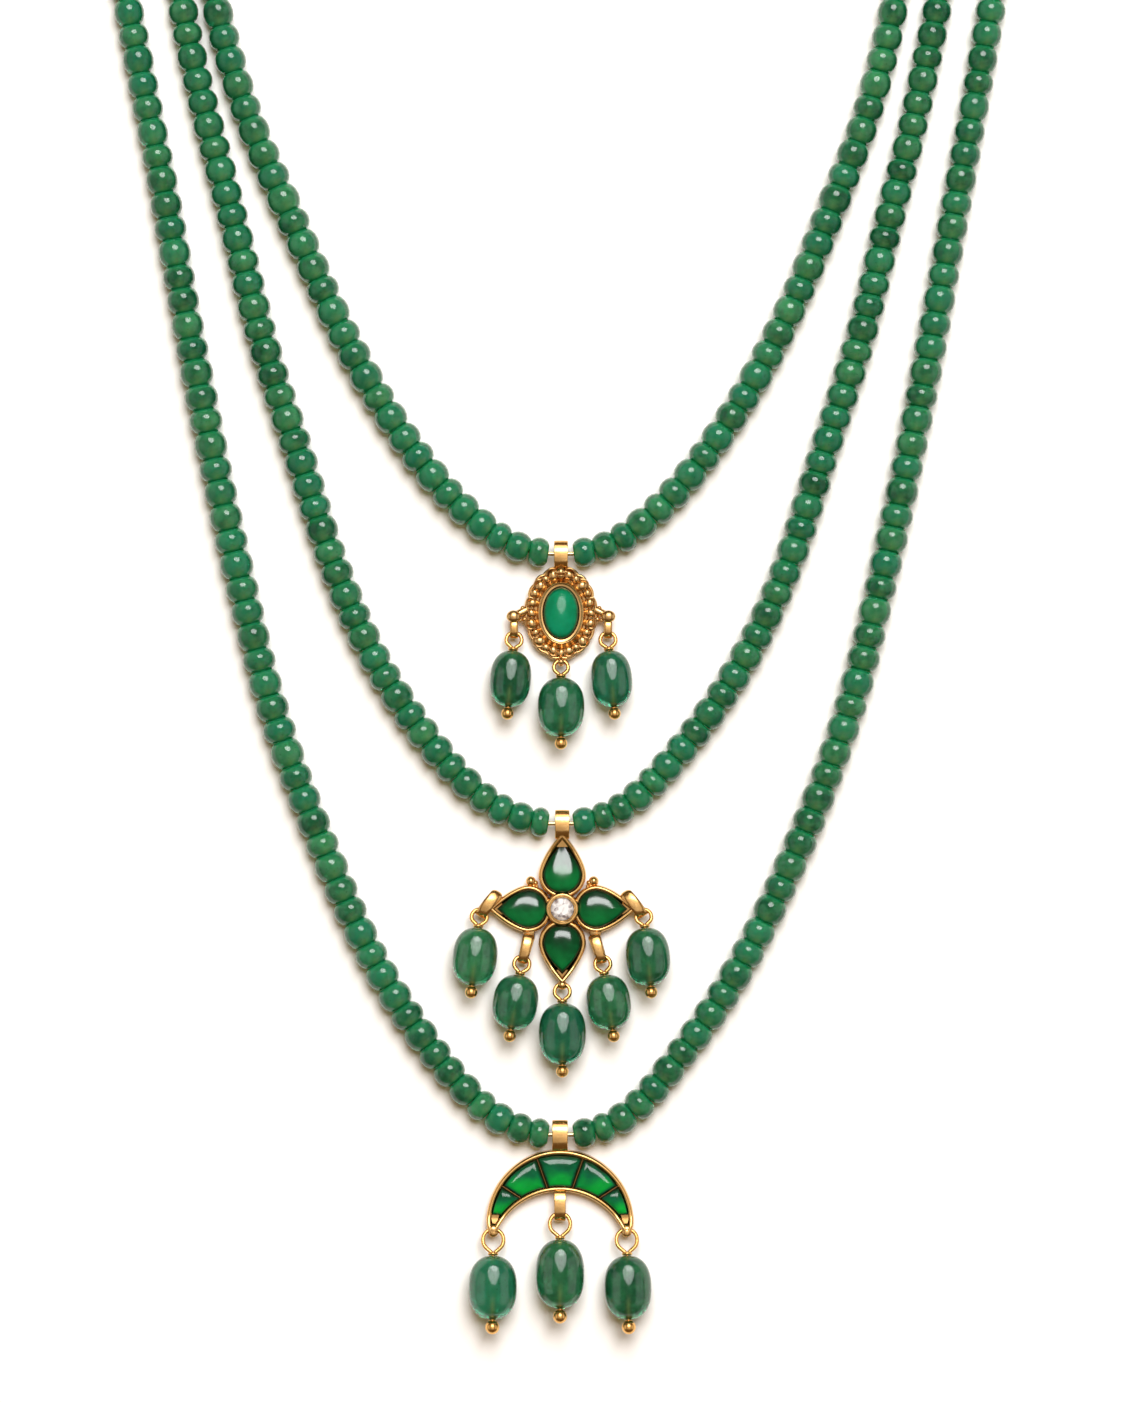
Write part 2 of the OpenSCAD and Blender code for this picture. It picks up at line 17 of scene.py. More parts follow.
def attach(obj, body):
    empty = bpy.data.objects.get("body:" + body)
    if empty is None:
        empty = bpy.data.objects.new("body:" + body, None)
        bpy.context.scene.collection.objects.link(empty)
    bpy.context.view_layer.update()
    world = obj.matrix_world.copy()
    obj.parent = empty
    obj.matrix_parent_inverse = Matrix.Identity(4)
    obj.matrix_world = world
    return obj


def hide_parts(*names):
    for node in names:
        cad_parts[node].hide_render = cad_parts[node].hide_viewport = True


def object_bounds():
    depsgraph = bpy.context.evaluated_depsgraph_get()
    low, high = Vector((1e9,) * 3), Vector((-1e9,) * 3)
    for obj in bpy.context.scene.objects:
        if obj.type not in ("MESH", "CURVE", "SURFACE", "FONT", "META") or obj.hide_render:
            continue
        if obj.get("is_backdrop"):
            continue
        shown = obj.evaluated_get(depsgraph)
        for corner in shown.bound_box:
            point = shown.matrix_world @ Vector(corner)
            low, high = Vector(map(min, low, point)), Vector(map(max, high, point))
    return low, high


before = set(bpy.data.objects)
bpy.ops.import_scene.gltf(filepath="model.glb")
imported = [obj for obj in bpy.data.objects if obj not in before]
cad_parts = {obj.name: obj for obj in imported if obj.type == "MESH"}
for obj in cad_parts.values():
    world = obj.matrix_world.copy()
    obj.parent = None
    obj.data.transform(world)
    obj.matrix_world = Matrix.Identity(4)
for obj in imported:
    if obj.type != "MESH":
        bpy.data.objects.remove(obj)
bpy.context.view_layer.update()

# %% [markdown]
# ## Working in millimetres
# A jeweller measures in millimetres, and Blender here counts in metres. So every size below is written
# in millimetres unless it says metres, and finished points are turned into metres. Colours are written
# as a designer would, in sRGB hex, and turned to the linear numbers that a renderer needs. One function
# adds a node of any kind, so that a recipe of nodes reads line by line.

# %% Units, colours and nodes
MM = 0.001


def linear(hex_colour):
    """An sRGB hex colour as linear red, green, blue and alpha."""
    shares = [int(hex_colour[i:i + 2], 16) / 255 for i in (1, 3, 5)]
    return [s / 12.92 if s <= 0.04045 else ((s + 0.055) / 1.055) ** 2.4 for s in shares] + [1]


def fill(node, inputs):
    """Link or fill in a node's inputs, which come by name, or as a list in the order that it shows.

    A node as a value stands for its first output, and a text that starts with # for a colour.
    """
    named = isinstance(inputs, dict)
    sockets = node.inputs if named else [socket for socket in node.inputs if socket.enabled]
    for key, value in inputs.items() if named else enumerate(inputs):
        if isinstance(value, bpy.types.Node):
            value = next(socket for socket in value.outputs if socket.enabled)
        if isinstance(value, bpy.types.NodeSocket):
            node.id_data.links.new(value, sockets[key])
        else:
            sockets[key].default_value = linear(value) if str(value).startswith("#") else value
    return node


def add_node(tree, kind, inputs=(), **settings):
    """A new node with its settings made and its inputs linked or filled in."""
    node = tree.nodes.new(kind)
    for name, value in settings.items():
        setattr(node, name, value)
    return fill(node, inputs)


def new_material(name):
    """A new material, the tree of its nodes and its shader."""
    material = bpy.data.materials.new(name)
    material.use_nodes = True
    return material, material.node_tree, material.node_tree.nodes["Principled BSDF"]


print("sRGB #808080 is", round(linear("#808080")[0], 3), "in linear light")

# %% [markdown]
# ## Shells
# A shell is a list of points and a list of faces. Almost everything in jewellery is a row of rings with
# a skin over them: a turned bead, a bent wire, a strap, a cup that a stone sits in. Building them from
# rings keeps the faces even, which matters on polished metal because uneven faces show as ripples. A
# fourth value at a point paints shade, with some dirt, on the metal there, or a stone's glow.

# %% Shells from rings
def skin(rings, looped=False):
    """Points and faces over rings of equal counts. Looped joins the last ring to the first."""
    count = len(rings[0])
    faces = []
    for i in range(len(rings) if looped else len(rings) - 1):
        a = i * count
        b = (i + 1) % len(rings) * count
        faces += [(a + k, a + (k + 1) % count, b + (k + 1) % count, b + k) for k in range(count)]
    if not looped:
        faces.append(tuple(range(count - 1, -1, -1)))
        faces.append(tuple((len(rings) - 1) * count + k for k in range(count)))
    return np.concatenate(rings), faces


def turned(profile, sides, looped=False):
    """A shell turned round Z from a profile of distances out and heights."""
    angles = np.linspace(0, 2 * math.pi, sides, endpoint=False)
    rings = [np.c_[r * np.cos(angles), r * np.sin(angles), np.full(sides, z)] for r, z in profile]
    return skin(rings, looped)


def ball(radius, at=(0, 0, 0), sides=20):
    """A polished granule."""
    pole = 0.04
    tilt = np.linspace(pole, math.pi - pole, sides // 2)
    points, faces = turned([(radius * math.sin(t), -radius * math.cos(t)) for t in tilt], sides)
    return points + np.array(at), faces


def placed(shell, matrix):
    """A shell turned and moved by a matrix in millimetres."""
    points, faces = shell
    turn = np.array(matrix.to_3x3())
    return np.c_[points[:, :3] @ turn.T + np.array(matrix.translation), points[:, 3:]], faces


def joined(shells):
    """Several shells as one, in which every point has a fourth value."""
    points, faces = [], []
    start = 0
    for some_points, some_faces in shells:
        bare = some_points.shape[1] == 3
        points.append(np.c_[some_points, np.zeros(len(some_points))] if bare else some_points)
        faces += [tuple(start + i for i in face) for face in some_faces]
        start += len(some_points)
    return np.concatenate(points), faces


print("a ball of 20 sides has", len(ball(1)[1]), "faces")

# %% Meshes from shells
def paint(mesh, name, values):
    """A value at every point of a mesh, which a material reads by its name."""
    values = np.broadcast_to(np.asarray(values, np.float32), len(mesh.vertices))
    mesh.attributes.new(name, "FLOAT", "POINT").data.foreach_set("value", values.copy())


def mesh_of(name, shell, material, sharp=50, fourth="soil"):
    """A mesh in metres with its faces turned outwards, and sharp where it bends more than an angle."""
    points, faces = shell
    mesh = bpy.data.meshes.new(name)
    mesh.from_pydata((points[:, :3] * MM).tolist(), [], faces)
    work = bmesh.new()
    work.from_mesh(mesh)
    bmesh.ops.recalc_face_normals(work, faces=work.faces)
    work.to_mesh(mesh)
    work.free()
    mesh.shade_smooth()
    mesh.set_sharp_from_angle(angle=math.radians(sharp))
    mesh.materials.append(material)
    if points.shape[1] == 4:
        paint(mesh, fourth, points[:, 3])
    return mesh


def shell_of(mesh):
    """A mesh as a shell in millimetres."""
    return np.array([v.co[:] for v in mesh.vertices]) / MM, [tuple(p.vertices) for p in mesh.polygons]


# %% [markdown]
# ## Camera and paper
# The necklace is laid on white paper and seen from straight above through a long lens, so that the
# strands show without leaning.

# %% Camera
scene = bpy.context.scene
pixel = 0.2  # millimetres of necklace to one pixel of the picture
frame_w = 1121 * pixel
frame_h = 1403 * pixel
aim = (-0.1, -54.5, 3.0)
camera_height = 1250
sensor = 36

camera_data = bpy.data.cameras.new("camera")
camera_data.sensor_width = sensor
camera_data.lens = sensor * (camera_height - aim[2]) / frame_h
camera_data.clip_start = 0.05
camera_data.clip_end = 20
camera = bpy.data.objects.new("camera", camera_data)
camera.location = (aim[0] * MM, aim[1] * MM, camera_height * MM)
scene.collection.objects.link(camera)
scene.camera = camera
print(f"lens {camera_data.lens:.0f} mm, frame {frame_w:.1f} by {frame_h:.1f} mm")

# %% Paper
scene.view_settings.view_transform = "Standard"
floor_half = 3.0  # metres

# Paper is matt and nearly white, so it shows the shadows softly and sends light back up into the stones
paper, _, shader = new_material("white_paper")
fill(shader, {"Base Color": "#FAFAFA", "Roughness": 0.9, "Specular IOR Level": 0.1})

corners = [(x * floor_half, y * floor_half, 0) for x, y in ((-1, -1), (1, -1), (1, 1), (-1, 1))]
floor_mesh = bpy.data.meshes.new("floor")
floor_mesh.from_pydata(corners, [], [(0, 1, 2, 3)])
floor_mesh.materials.append(paper)
floor = bpy.data.objects.new("floor", floor_mesh)
scene.collection.objects.link(floor)
floor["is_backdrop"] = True
print("paper", 2 * floor_half, "m wide")

# %% [markdown]
# ## Light
# Polished stones and gold show whatever is around them, so the light matters as much as the finish. A
# photographer moves cards and soft boxes until each kind of surface looks right. Light linking does the
# same here: a light reaches only the pieces in one collection. So the paper has a key light of its own,
# the stones share a soft one, and each kind of stone has its own window, which shows only as the
# highlight that it mirrors. Gold has dim boxes all round and one small bright one, in a dim warm room,
# so it is brown between its highlights.

# %% Which lights reach what
WINDOWED = ("strand_bead", "drop_bead", "cabochon", "petal_stone", "crescent_stone")
LIT = {kind: bpy.data.collections.new("lit_" + kind) for kind in ("paper", *WINDOWED, "stones", "metal")}
# The clear stone mirrors as metal does and passes light as stone does, so it takes both
LIT_AS = {"gold": ["metal"], "stringing_wire": ["metal"], "brilliant": ["metal", "stones"],
          **{slot: [slot, "stones"] for slot in WINDOWED}}
LIT["paper"].objects.link(floor)


def piece(name, mesh, slot, *nodes):
    """A finished piece of the necklace, in its place and light, which may stand for nodes of the frame."""
    made = bpy.data.objects.new(name, mesh)
    scene.collection.objects.link(made)
    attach(made, "root")
    for kind in LIT_AS[slot]:
        LIT[kind].objects.link(made)
    if nodes:
        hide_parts(*nodes)
    triangles = sum(len(p.vertices) - 2 for p in mesh.polygons)
    print(f"{name}: {triangles} triangles")


print("lights are set for", ", ".join(LIT))

# %% Room and soft boxes
room = bpy.data.worlds.new("room")
room.use_nodes = True
fill(room.node_tree.nodes["Background"], {"Color": "#C9A472", "Strength": 0.26})
scene.world = room
BOX_FAR = 2.6  # metres from the necklace to each soft box


def soft_box(name, lit, width, height, lean, turn, radiance, colour="#FFFFFF", aside=0.0, shows="both",
             shape="RECTANGLE"):
    """A lit panel that faces the necklace, leaning from straight above, and turned from +Y to +X.

    Its sides are in metres and its angles in degrees. It lights one kind of surface, and shows in it as a
    mirrored window, as soft light or as both.
    """
    data = bpy.data.lights.new(name, "AREA")
    data.shape = shape
    data.size = width
    data.size_y = height
    data.energy = radiance * math.pi * width * height * (1 if shape == "RECTANGLE" else math.pi / 4)
    data.color = linear(colour)[:3]
    box = bpy.data.objects.new(name, data)
    facing = Matrix.Rotation(-math.radians(turn), 4, "Z") @ Matrix.Rotation(-math.radians(lean), 4, "X")
    out = Matrix.Translation((aside, 0, BOX_FAR))
    box.matrix_world = Matrix.Translation((aim[0] * MM, aim[1] * MM, 0)) @ facing @ out
    box.visible_camera = False
    box.visible_glossy = shows != "soft"
    box.visible_diffuse = shows != "window"
    box.light_linking.receiver_collection = LIT[lit]
    scene.collection.objects.link(box)


soft_box("paper_key", "paper", 1.6, 1.6, 28, 14, 11.5)
soft_box("paper_fill", "paper", 2.6, 2.6, 0, 0, 0.5, "#FFC88C", shows="soft")
soft_box("stone_key", "stones", 1.25, 1.3, 39, 9, 11.4, shows="soft")
soft_box("stone_fill", "stones", 2.6, 2.6, 0, 0, 1.2, "#FFF1DC", shows="soft")
soft_box("strand_window", "strand_bead", 1.8, 1.4, 34, 9, 7.5, shows="window", shape="ELLIPSE")
soft_box("drop_window", "drop_bead", 2.7, 2.7, 44, 5, 4.6, shows="window", shape="ELLIPSE")
soft_box("drop_window_top", "drop_bead", 1.4, 1.0, 58, 7, 4.4, shows="window", shape="ELLIPSE")
soft_box("cabochon_window", "cabochon", 1.35, 1.8, 20, 5, 5.0, shows="window", shape="ELLIPSE")
soft_box("petal_window", "petal_stone", 1.6, 0.6, 28, 3, 17.0, shows="window")
soft_box("crescent_window", "crescent_stone", 2.7, 0.95, 25, 3, 9.2, shows="window")
for side in (-1, 1):
    soft_box(f"drop_side_{side}", "drop_bead", 3.4, 2.2, 62, 90 * side, 0.8, shows="window")
    soft_box(f"strand_side_{side}", "strand_bead", 3.4, 2.0, 60, 90 * side, 0.3, shows="window")
    soft_box(f"metal_side_{side}", "metal", 2.6, 1.5, 62, 90 * side, 0.7)
soft_box("metal_key", "metal", 1.8, 1.7, 34, 5, 2.2)
soft_box("metal_spark", "metal", 0.9, 0.75, 25, 8, 7.0)
soft_box("overhead_middle", "metal", 0.9, 0.9, 0, 0, 0.4)
# Four panels stand like a pinwheel round that last one, and are brightest at the far side
for quarter, radiance in enumerate((1.1, 0.75, 0.45, 0.75)):
    soft_box(f"overhead_{quarter}", "metal", 1.58, 1.3, 16.9, 90 * quarter, radiance, aside=0.65)
print(len(bpy.data.lights), "soft boxes,", BOX_FAR, "m away")

# %% [markdown]
# ## The stones
# The strand beads are dyed green quartz: cloudy, so light scatters just under the polish, yet clear
# enough at the rim to let the paper glow through. A mix of clear glass and scattering gives both. Every
# bead is cut from other rough, so each has a tone of its own, stored on the mesh as an attribute. The
# colour is built up in layers: one green laid over another wherever a value is high. Some layers are
# painted light and shade: a dark ring and a pale rim by how the surface faces, and a brighter green
# round the mouth of the hole.

# %% Cloudy green quartz
def layered(tree, colour, layers):
    """Colours laid over each other. Each goes on as a value rises from low to high, up to a share."""
    for value, low, high, most, over in layers:
        share = add_node(tree, "ShaderNodeMapRange", [value, low, high, 0.0, most])
        colour = add_node(tree, "ShaderNodeMix", [share, colour, over], data_type="RGBA")
    return colour


def quartz(name, deep, pale, cool, clear, scatter_mm, ring, rim):
    """Polished cloudy quartz. Clouds, flecks and a tone a bead lie over light that scatters inside.

    Seen from the side, clear stone shows a dark ring and then a pale rim, where it bends the light of the
    paper round its edge; both are painted into the colour, as painted shade and painted light. Ring is the
    facing value at which the one is full, and rim where the other starts.
    """
    material, tree, shader = new_material(name)
    place = add_node(tree, "ShaderNodeTexCoord").outputs["Object"]
    facing = add_node(tree, "ShaderNodeLayerWeight", {"Blend": 0.5}).outputs["Facing"]
    tone, bore, neck = (add_node(tree, "ShaderNodeAttribute", attribute_name=label).outputs["Fac"]
                        for label in ("tone", "bore", "neck"))
    clouds = add_node(tree, "ShaderNodeTexNoise", {"Vector": place, "Scale": 1 / (2.6 * MM), "Detail": 4.0})
    cloud = add_node(tree, "ShaderNodeMapRange", [clouds, 0.34, 0.66])
    cloud_and_tone = add_node(tree, "ShaderNodeMath", [cloud, tone], operation="ADD")
    spread = add_node(tree, "ShaderNodeMath", [tone, 7.3], operation="MULTIPLY")
    other_tone = add_node(tree, "ShaderNodeMath", [spread], operation="FRACT")
    flecks = add_node(tree, "ShaderNodeTexNoise", {"Vector": place, "Scale": 1 / (0.5 * MM), "Detail": 1.0})
    colour = layered(tree, deep, [
        (cloud_and_tone, 0.2, 1.8, 1.0, pale),
        (other_tone, 0.3, 1.0, 0.75, cool),  # some beads took the dye cooler
        (flecks, 0.66, 0.8, 0.5, "#0B4A30"),
        (bore, 0.0, 1.0, 0.6, "#A3B878"),  # the drilled hole shows through as a pale streak
        # painted shade and painted light: the dark ring and the pale rim at the edge
        (facing, ring - 0.16, ring, 0.75, "#0C6E46"),
        (facing, rim, rim + 0.1, 0.6, "#4A8A5A"),
        # painted light: the neck is painted a brighter green, as light coming through the thin stone round
        # the hole
        (neck, 0.0, 1.0, 0.85, "#22AC72"),  # thin stone round the mouth of the hole is light
    ])
    fill(shader, {"Base Color": colour, "Roughness": 0.09, "IOR": 1.55, "Transmission Weight": clear,
                  "Subsurface Weight": 1.0, "Subsurface Radius": (0.35, 1.0, 0.6),
                  "Subsurface Scale": scatter_mm * MM})
    return material


# A small bead lets light through from edge to edge, so its pale rim is wide
strand_quartz = quartz("dyed_green_quartz", "#15694A", "#55B07C", "#249C78", 0.36, 0.9, 0.46, 0.54)
# A drop is thicker: its middle looks deeper, and the ring and the rim lie close to its edge
drop_quartz = quartz("cloudy_green_quartz", "#156345", "#459A6A", "#268E70", 0.4, 1.2, 0.6, 0.78)
print("quartz:", strand_quartz.name, "and", drop_quartz.name)

# %% Green glass and onyx
def glass(name, dark, body, vivid, clear, rough):
    """A closed-back stone, painted dark where it turns away from the light and painted vivid where the light
    comes out.
    """
    material, tree, shader = new_material(name)
    place = add_node(tree, "ShaderNodeTexCoord").outputs["Object"]
    clouds = add_node(tree, "ShaderNodeTexNoise", {"Vector": place, "Scale": 1 / (2.5 * MM)})
    cloud = add_node(tree, "ShaderNodeMapRange", [clouds, 0.3, 0.7, -0.12, 0.12])
    painted = add_node(tree, "ShaderNodeAttribute", attribute_name="glow").outputs["Fac"]
    glow = add_node(tree, "ShaderNodeMath", [cloud, painted], operation="ADD")
    colour = layered(tree, dark, [(glow, 0.0, 0.5, 1.0, body), (glow, 0.5, 1.0, 1.0, vivid)])
    fill(shader, {"Base Color": colour, "Roughness": rough, "IOR": 1.6, "Specular IOR Level": 0.3,
                  "Transmission Weight": clear, "Subsurface Weight": 0.35,
                  "Subsurface Radius": (0.3, 1.0, 0.6), "Subsurface Scale": 0.5 * MM})
    return material


# Onyx is nearly opaque and takes a slightly soft polish, which widens its highlight
oval_stone = glass("green_onyx", "#043A24", "#088A5E", "#10AC80", 0.05, 0.14)
# Dark glass looks almost black at its edge, and its highlight is sharper
petal_glass = glass("deep_green_glass", "#021A0C", "#064E2A", "#0A8442", 0.1, 0.12)
# Bright glass lights up on the side where the light leaves it
crescent_glass = glass("bright_green_glass", "#04260F", "#067048", "#04BE46", 0.1, 0.12)
print("closed-back stones:", oval_stone.name, petal_glass.name, crescent_glass.name)

# %% [markdown]
# ## The metal
# Gold needs no invented colour for its highlights: a metal shader with the right tint shows cream where
# it meets the soft box and brown where it meets the dark room. Hand polishing leaves it slightly uneven,
# so roughness wanders a little, and a fine bump breaks up the reflections. Floors, inner walls, bars and
# tabs are painted darker, as painted shade where light doesn't reach. The oval is older work: its gold is
# paler, duller and darker in the recesses, from painted shade with some dirt.

# %% Gold
def gold(name, light, dark, dull):
    """Polished gold with a soft wander in tint and polish, dark where its points are painted with shade and
    some dirt.
    """
    material, tree, shader = new_material(name)
    place = add_node(tree, "ShaderNodeTexCoord").outputs["Object"]
    wander = add_node(tree, "ShaderNodeTexNoise", {"Vector": place, "Scale": 1 / (1.5 * MM)})
    tint = add_node(tree, "ShaderNodeMix", [wander, light, dark], data_type="RGBA")
    # Painted shade: where points are painted with shade, and some dirt on the old gold, the gold goes towards
    # dark brown
    soil = add_node(tree, "ShaderNodeAttribute", attribute_name="soil").outputs["Fac"]
    shaded_and_soiled = add_node(tree, "ShaderNodeMix", [soil, tint, "#3A220C"], data_type="RGBA")
    polish = add_node(tree, "ShaderNodeMapRange", [wander, 0.0, 1.0, dull * 0.7, dull * 1.4])
    scratches = add_node(tree, "ShaderNodeTexNoise", {"Vector": place, "Scale": 1 / (0.5 * MM)})
    bump = add_node(tree, "ShaderNodeBump", {"Height": scratches, "Distance": 0.02 * MM, "Strength": 0.35})
    fill(shader, {"Base Color": shaded_and_soiled, "Metallic": 1.0, "Roughness": polish, "Normal": bump})
    return material


# A high polish keeps its highlights small and cream
bright_gold = gold("polished_yellow_gold", "#EFC483", "#DAA55E", 0.19)
# Pins are tumbled, not buffed, so their highlights are wider and softer
pin_gold = gold("satin_yellow_gold", "#F3C57C", "#E3A95A", 0.225)
# Worn gold is dull, and its recesses carry painted shade with some dirt, which softens the border's relief
antique_gold = gold("antique_gold", "#ECC388", "#D6A463", 0.22)
# Brass is paler and greener than gold, as the bare wire shows beside the bails
brass_wire = gold("brass_stringing_wire", "#F0DDB0", "#DCC48E", 0.2)
print("metals:", bright_gold.name, pin_gold.name, antique_gold.name, brass_wire.name)

# %% [markdown]
# ## A tree that grows pieces
# Geometry Nodes turn a simple carrier, such as a line or a few points, into what repeats along it. The
# tree is a recipe: it is built once here, its sizes are named inputs, and each piece runs it on its own
# carrier. The result is turned into a plain mesh, because an export keeps meshes and drops recipes.

# %% Trees and their results
def new_tree(name, inputs):
    """A Geometry Nodes tree with geometry in and out and named inputs, and the sockets of its inputs."""
    tree = bpy.data.node_groups.new(name, "GeometryNodeTree")
    for way in ("INPUT", "OUTPUT"):
        tree.interface.new_socket("Geometry", in_out=way, socket_type="NodeSocketGeometry")
    for label, kind in inputs.items():
        tree.interface.new_socket(label, in_out="INPUT", socket_type="NodeSocket" + kind)
    return tree, add_node(tree, "NodeGroupInput").outputs


def close_tree(tree, geometry, finish):
    """The end of a tree: its copies made real, given their material and sent out."""
    real = add_node(tree, "GeometryNodeRealizeInstances", [geometry])
    finished = add_node(tree, "GeometryNodeSetMaterial", {"Geometry": real, "Material": finish})
    add_node(tree, "NodeGroupOutput", [finished])
    print(tree.name, "has", len(tree.nodes), "nodes")


def grown(name, tree, points, edges, inputs, fields):
    """The plain mesh that a tree makes of a carrier, whose points are in millimetres."""
    carrier = bpy.data.meshes.new(name)
    carrier.from_pydata((np.array(points) * MM).tolist(), edges, [])
    for label, values in fields.items():
        values = np.array(values, np.float32)
        kind, key = ("FLOAT_VECTOR", "vector") if values.ndim == 2 else ("FLOAT", "value")
        carrier.attributes.new(label, kind, "POINT").data.foreach_set(key, values.ravel())
    holder = bpy.data.objects.new(name, carrier)
    scene.collection.objects.link(holder)
    recipe = holder.modifiers.new("recipe", "NODES")
    recipe.node_group = tree
    for item in tree.interface.items_tree:
        if item.in_out == "INPUT" and item.name in inputs:
            recipe[item.identifier] = inputs[item.name]
    seen = holder.evaluated_get(bpy.context.evaluated_depsgraph_get())
    mesh = bpy.data.meshes.new_from_object(seen)
    holder.modifiers.remove(recipe)
    bpy.data.objects.remove(holder)
    return mesh


def shape_for(mesh):
    """An object that a tree copies, which isn't seen itself."""
    shape = bpy.data.objects.new(mesh.name, mesh)
    scene.collection.objects.link(shape)
    shape.hide_render = True
    return shape


# %% A tree that strings shapes along points
strung, given = new_tree("strung", {"Shape": "Object", "Finish": "Material", "Seed": "Int"})
shape = add_node(strung, "GeometryNodeObjectInfo", {"Object": given["Shape"]}, transform_space="ORIGINAL")
along, size = (add_node(strung, "GeometryNodeInputNamedAttribute", {"Name": label}, data_type="FLOAT_VECTOR")
               for label in ("along", "size"))
facing = add_node(strung, "FunctionNodeAlignRotationToVector", {"Vector": along}, axis="Z")
upright = add_node(strung, "FunctionNodeAlignRotationToVector",
                   {"Rotation": facing, "Vector": (0, 0, 1)}, axis="X", pivot_axis="Z")
# Each copy is turned a little on the string, in radians, and has a tone between 0 and 1
angle, tone = (add_node(strung, "FunctionNodeRandomValue", {2: low, 3: high, "Seed": given["Seed"]},
                        data_type="FLOAT") for low, high in ((-0.06, 0.06), (0.0, 1.0)))
spin = add_node(strung, "FunctionNodeAxisAngleToRotation", {"Axis": (0, 0, 1), "Angle": angle})
turn = add_node(strung, "FunctionNodeRotateRotation", {"Rotation": upright, "Rotate By": spin},
                rotation_space="LOCAL")
copies = add_node(strung, "GeometryNodeInstanceOnPoints",
                  {"Points": given["Geometry"], "Instance": shape.outputs["Geometry"], "Rotation": turn,
                   "Scale": size})
toned = add_node(strung, "GeometryNodeStoreNamedAttribute",
                 {"Geometry": copies, "Name": "tone", "Value": tone}, data_type="FLOAT", domain="INSTANCE")
close_tree(strung, toned, given["Finish"])

# %% A tree that bends round wire along a line
wired, given = new_tree("wired", {"Radius": "Float", "Sides": "Int", "Finish": "Material"})
line = add_node(wired, "GeometryNodeMeshToCurve", [given["Geometry"]])
section = add_node(wired, "GeometryNodeCurvePrimitiveCircle",
                   {"Resolution": given["Sides"], "Radius": given["Radius"]})
bent = add_node(wired, "GeometryNodeCurveToMesh",
                {"Curve": line, "Profile Curve": section, "Fill Caps": True})
smooth = add_node(wired, "GeometryNodeSetShadeSmooth", [bent])
close_tree(wired, smooth, given["Finish"])


def wire(name, paths, radius, material, sides=12, closed=False, soil=None):
    """Round wire along one or several paths, as one plain mesh."""
    points, edges = [], []
    for path in paths:
        start = len(points)
        points += [tuple(p) for p in path]
        edges += [(start + i, start + i + 1) for i in range(len(path) - 1)]
        if closed:
            edges.append((start + len(path) - 1, start))
    fields = {"soil": np.zeros(len(points)) if soil is None else soil}
    sizes = {"Radius": radius * MM, "Sides": sides, "Finish": material}
    return grown(name, wired, points, edges, sizes, fields)


# %% [markdown]
# ## The strands
# A strand's line is drawn as a few points on each side, from its lowest point round to the
# clasp. A smooth curve runs through them. Lean moves it aside at a height, because the real one doesn't
# lie quite even. Count is how many loose beads one side shows, and vary starts their small differences.

# %% The lines of the three strands
CLASP_END = 7.6
STRANDS = {
    "inner": {
        "line": [(0, -25), (11, -22.6), (23.5, -12), (35.5, 4.5), (45, 22), (54.2, 43.5), (62.8, 65.5),
                 (68.8, 90), (70.5, 111), (63.5, 133.5), (47.5, 151), (27, 161), (CLASP_END, 164)],
        "lean": [(30, 0), (60, -0.7), (86, -1.2), (120, -1), (155, 0)],
        "count": 28,
        "vary": 20,
    },
    "middle": {
        "line": [(0, -79), (13, -75.5), (25.5, -63), (37, -46), (45.5, -27), (52.5, -5), (59.8, 18),
                 (65.6, 41.8), (71.7, 66), (76.4, 90), (78, 113), (70.5, 137.5), (52.6, 156.8), (30, 168),
                 (CLASP_END, 171)],
        "lean": [(-79, 0), (-68, -0.5), (-50, -0.3), (-30, 0), (55, 0), (75, -0.3), (110, 0)],
        "count": 41,
        "vary": 75,
    },
    "outer": {
        "line": [(0, -141.2), (13, -137.6), (26, -123.2), (37.4, -105.5), (48, -82.4), (57.4, -57), (64, -31),
                 (69.8, -4.5), (75, 22.5), (79.8, 49.5), (84.6, 75), (88, 98), (86, 121), (76, 143.5),
                 (57.5, 162), (32, 174.5), (CLASP_END, 178)],
        "lean": [(-141, 0), (-127, -0.6), (-105, -0.4), (-80, 0), (55, 0), (86, -0.3), (110, 0)],
        "count": 52,
        "vary": 140,
    },
}
print("beads that show:", {name: 2 * row["count"] for name, row in STRANDS.items()})

# %% Places along a strand
FRONT_END = 85.8  # above this height the beads are out of the picture
BEAD_R = 3.2
BEAD_R_AT_BAIL = 2.8
BEAD_R_AT_BACK = 2.9
BARE_HALF = 2.5  # the wire is bare so far to each side of a pendant's middle
GOLDEN_TURN = 137.508  # degrees from one bead's variation to the next, so that no pattern shows


def fine(line, steps=8):
    """The fine points of a half line, smooth through its own points."""
    p = np.array([(-line[1][0], line[1][1]), *line, (-line[-2][0], line[-2][1])], float)
    t = (np.arange(steps) / steps)[:, None]
    spans = [0.5 * (2 * b + (c - a) * t + (2 * a - 5 * b + 4 * c - d) * t ** 2
                    + (3 * b - a - 3 * c + d) * t ** 3) for a, b, c, d in zip(p, p[1:], p[2:], p[3:])]
    return np.concatenate([*spans, p[-2:-1]])


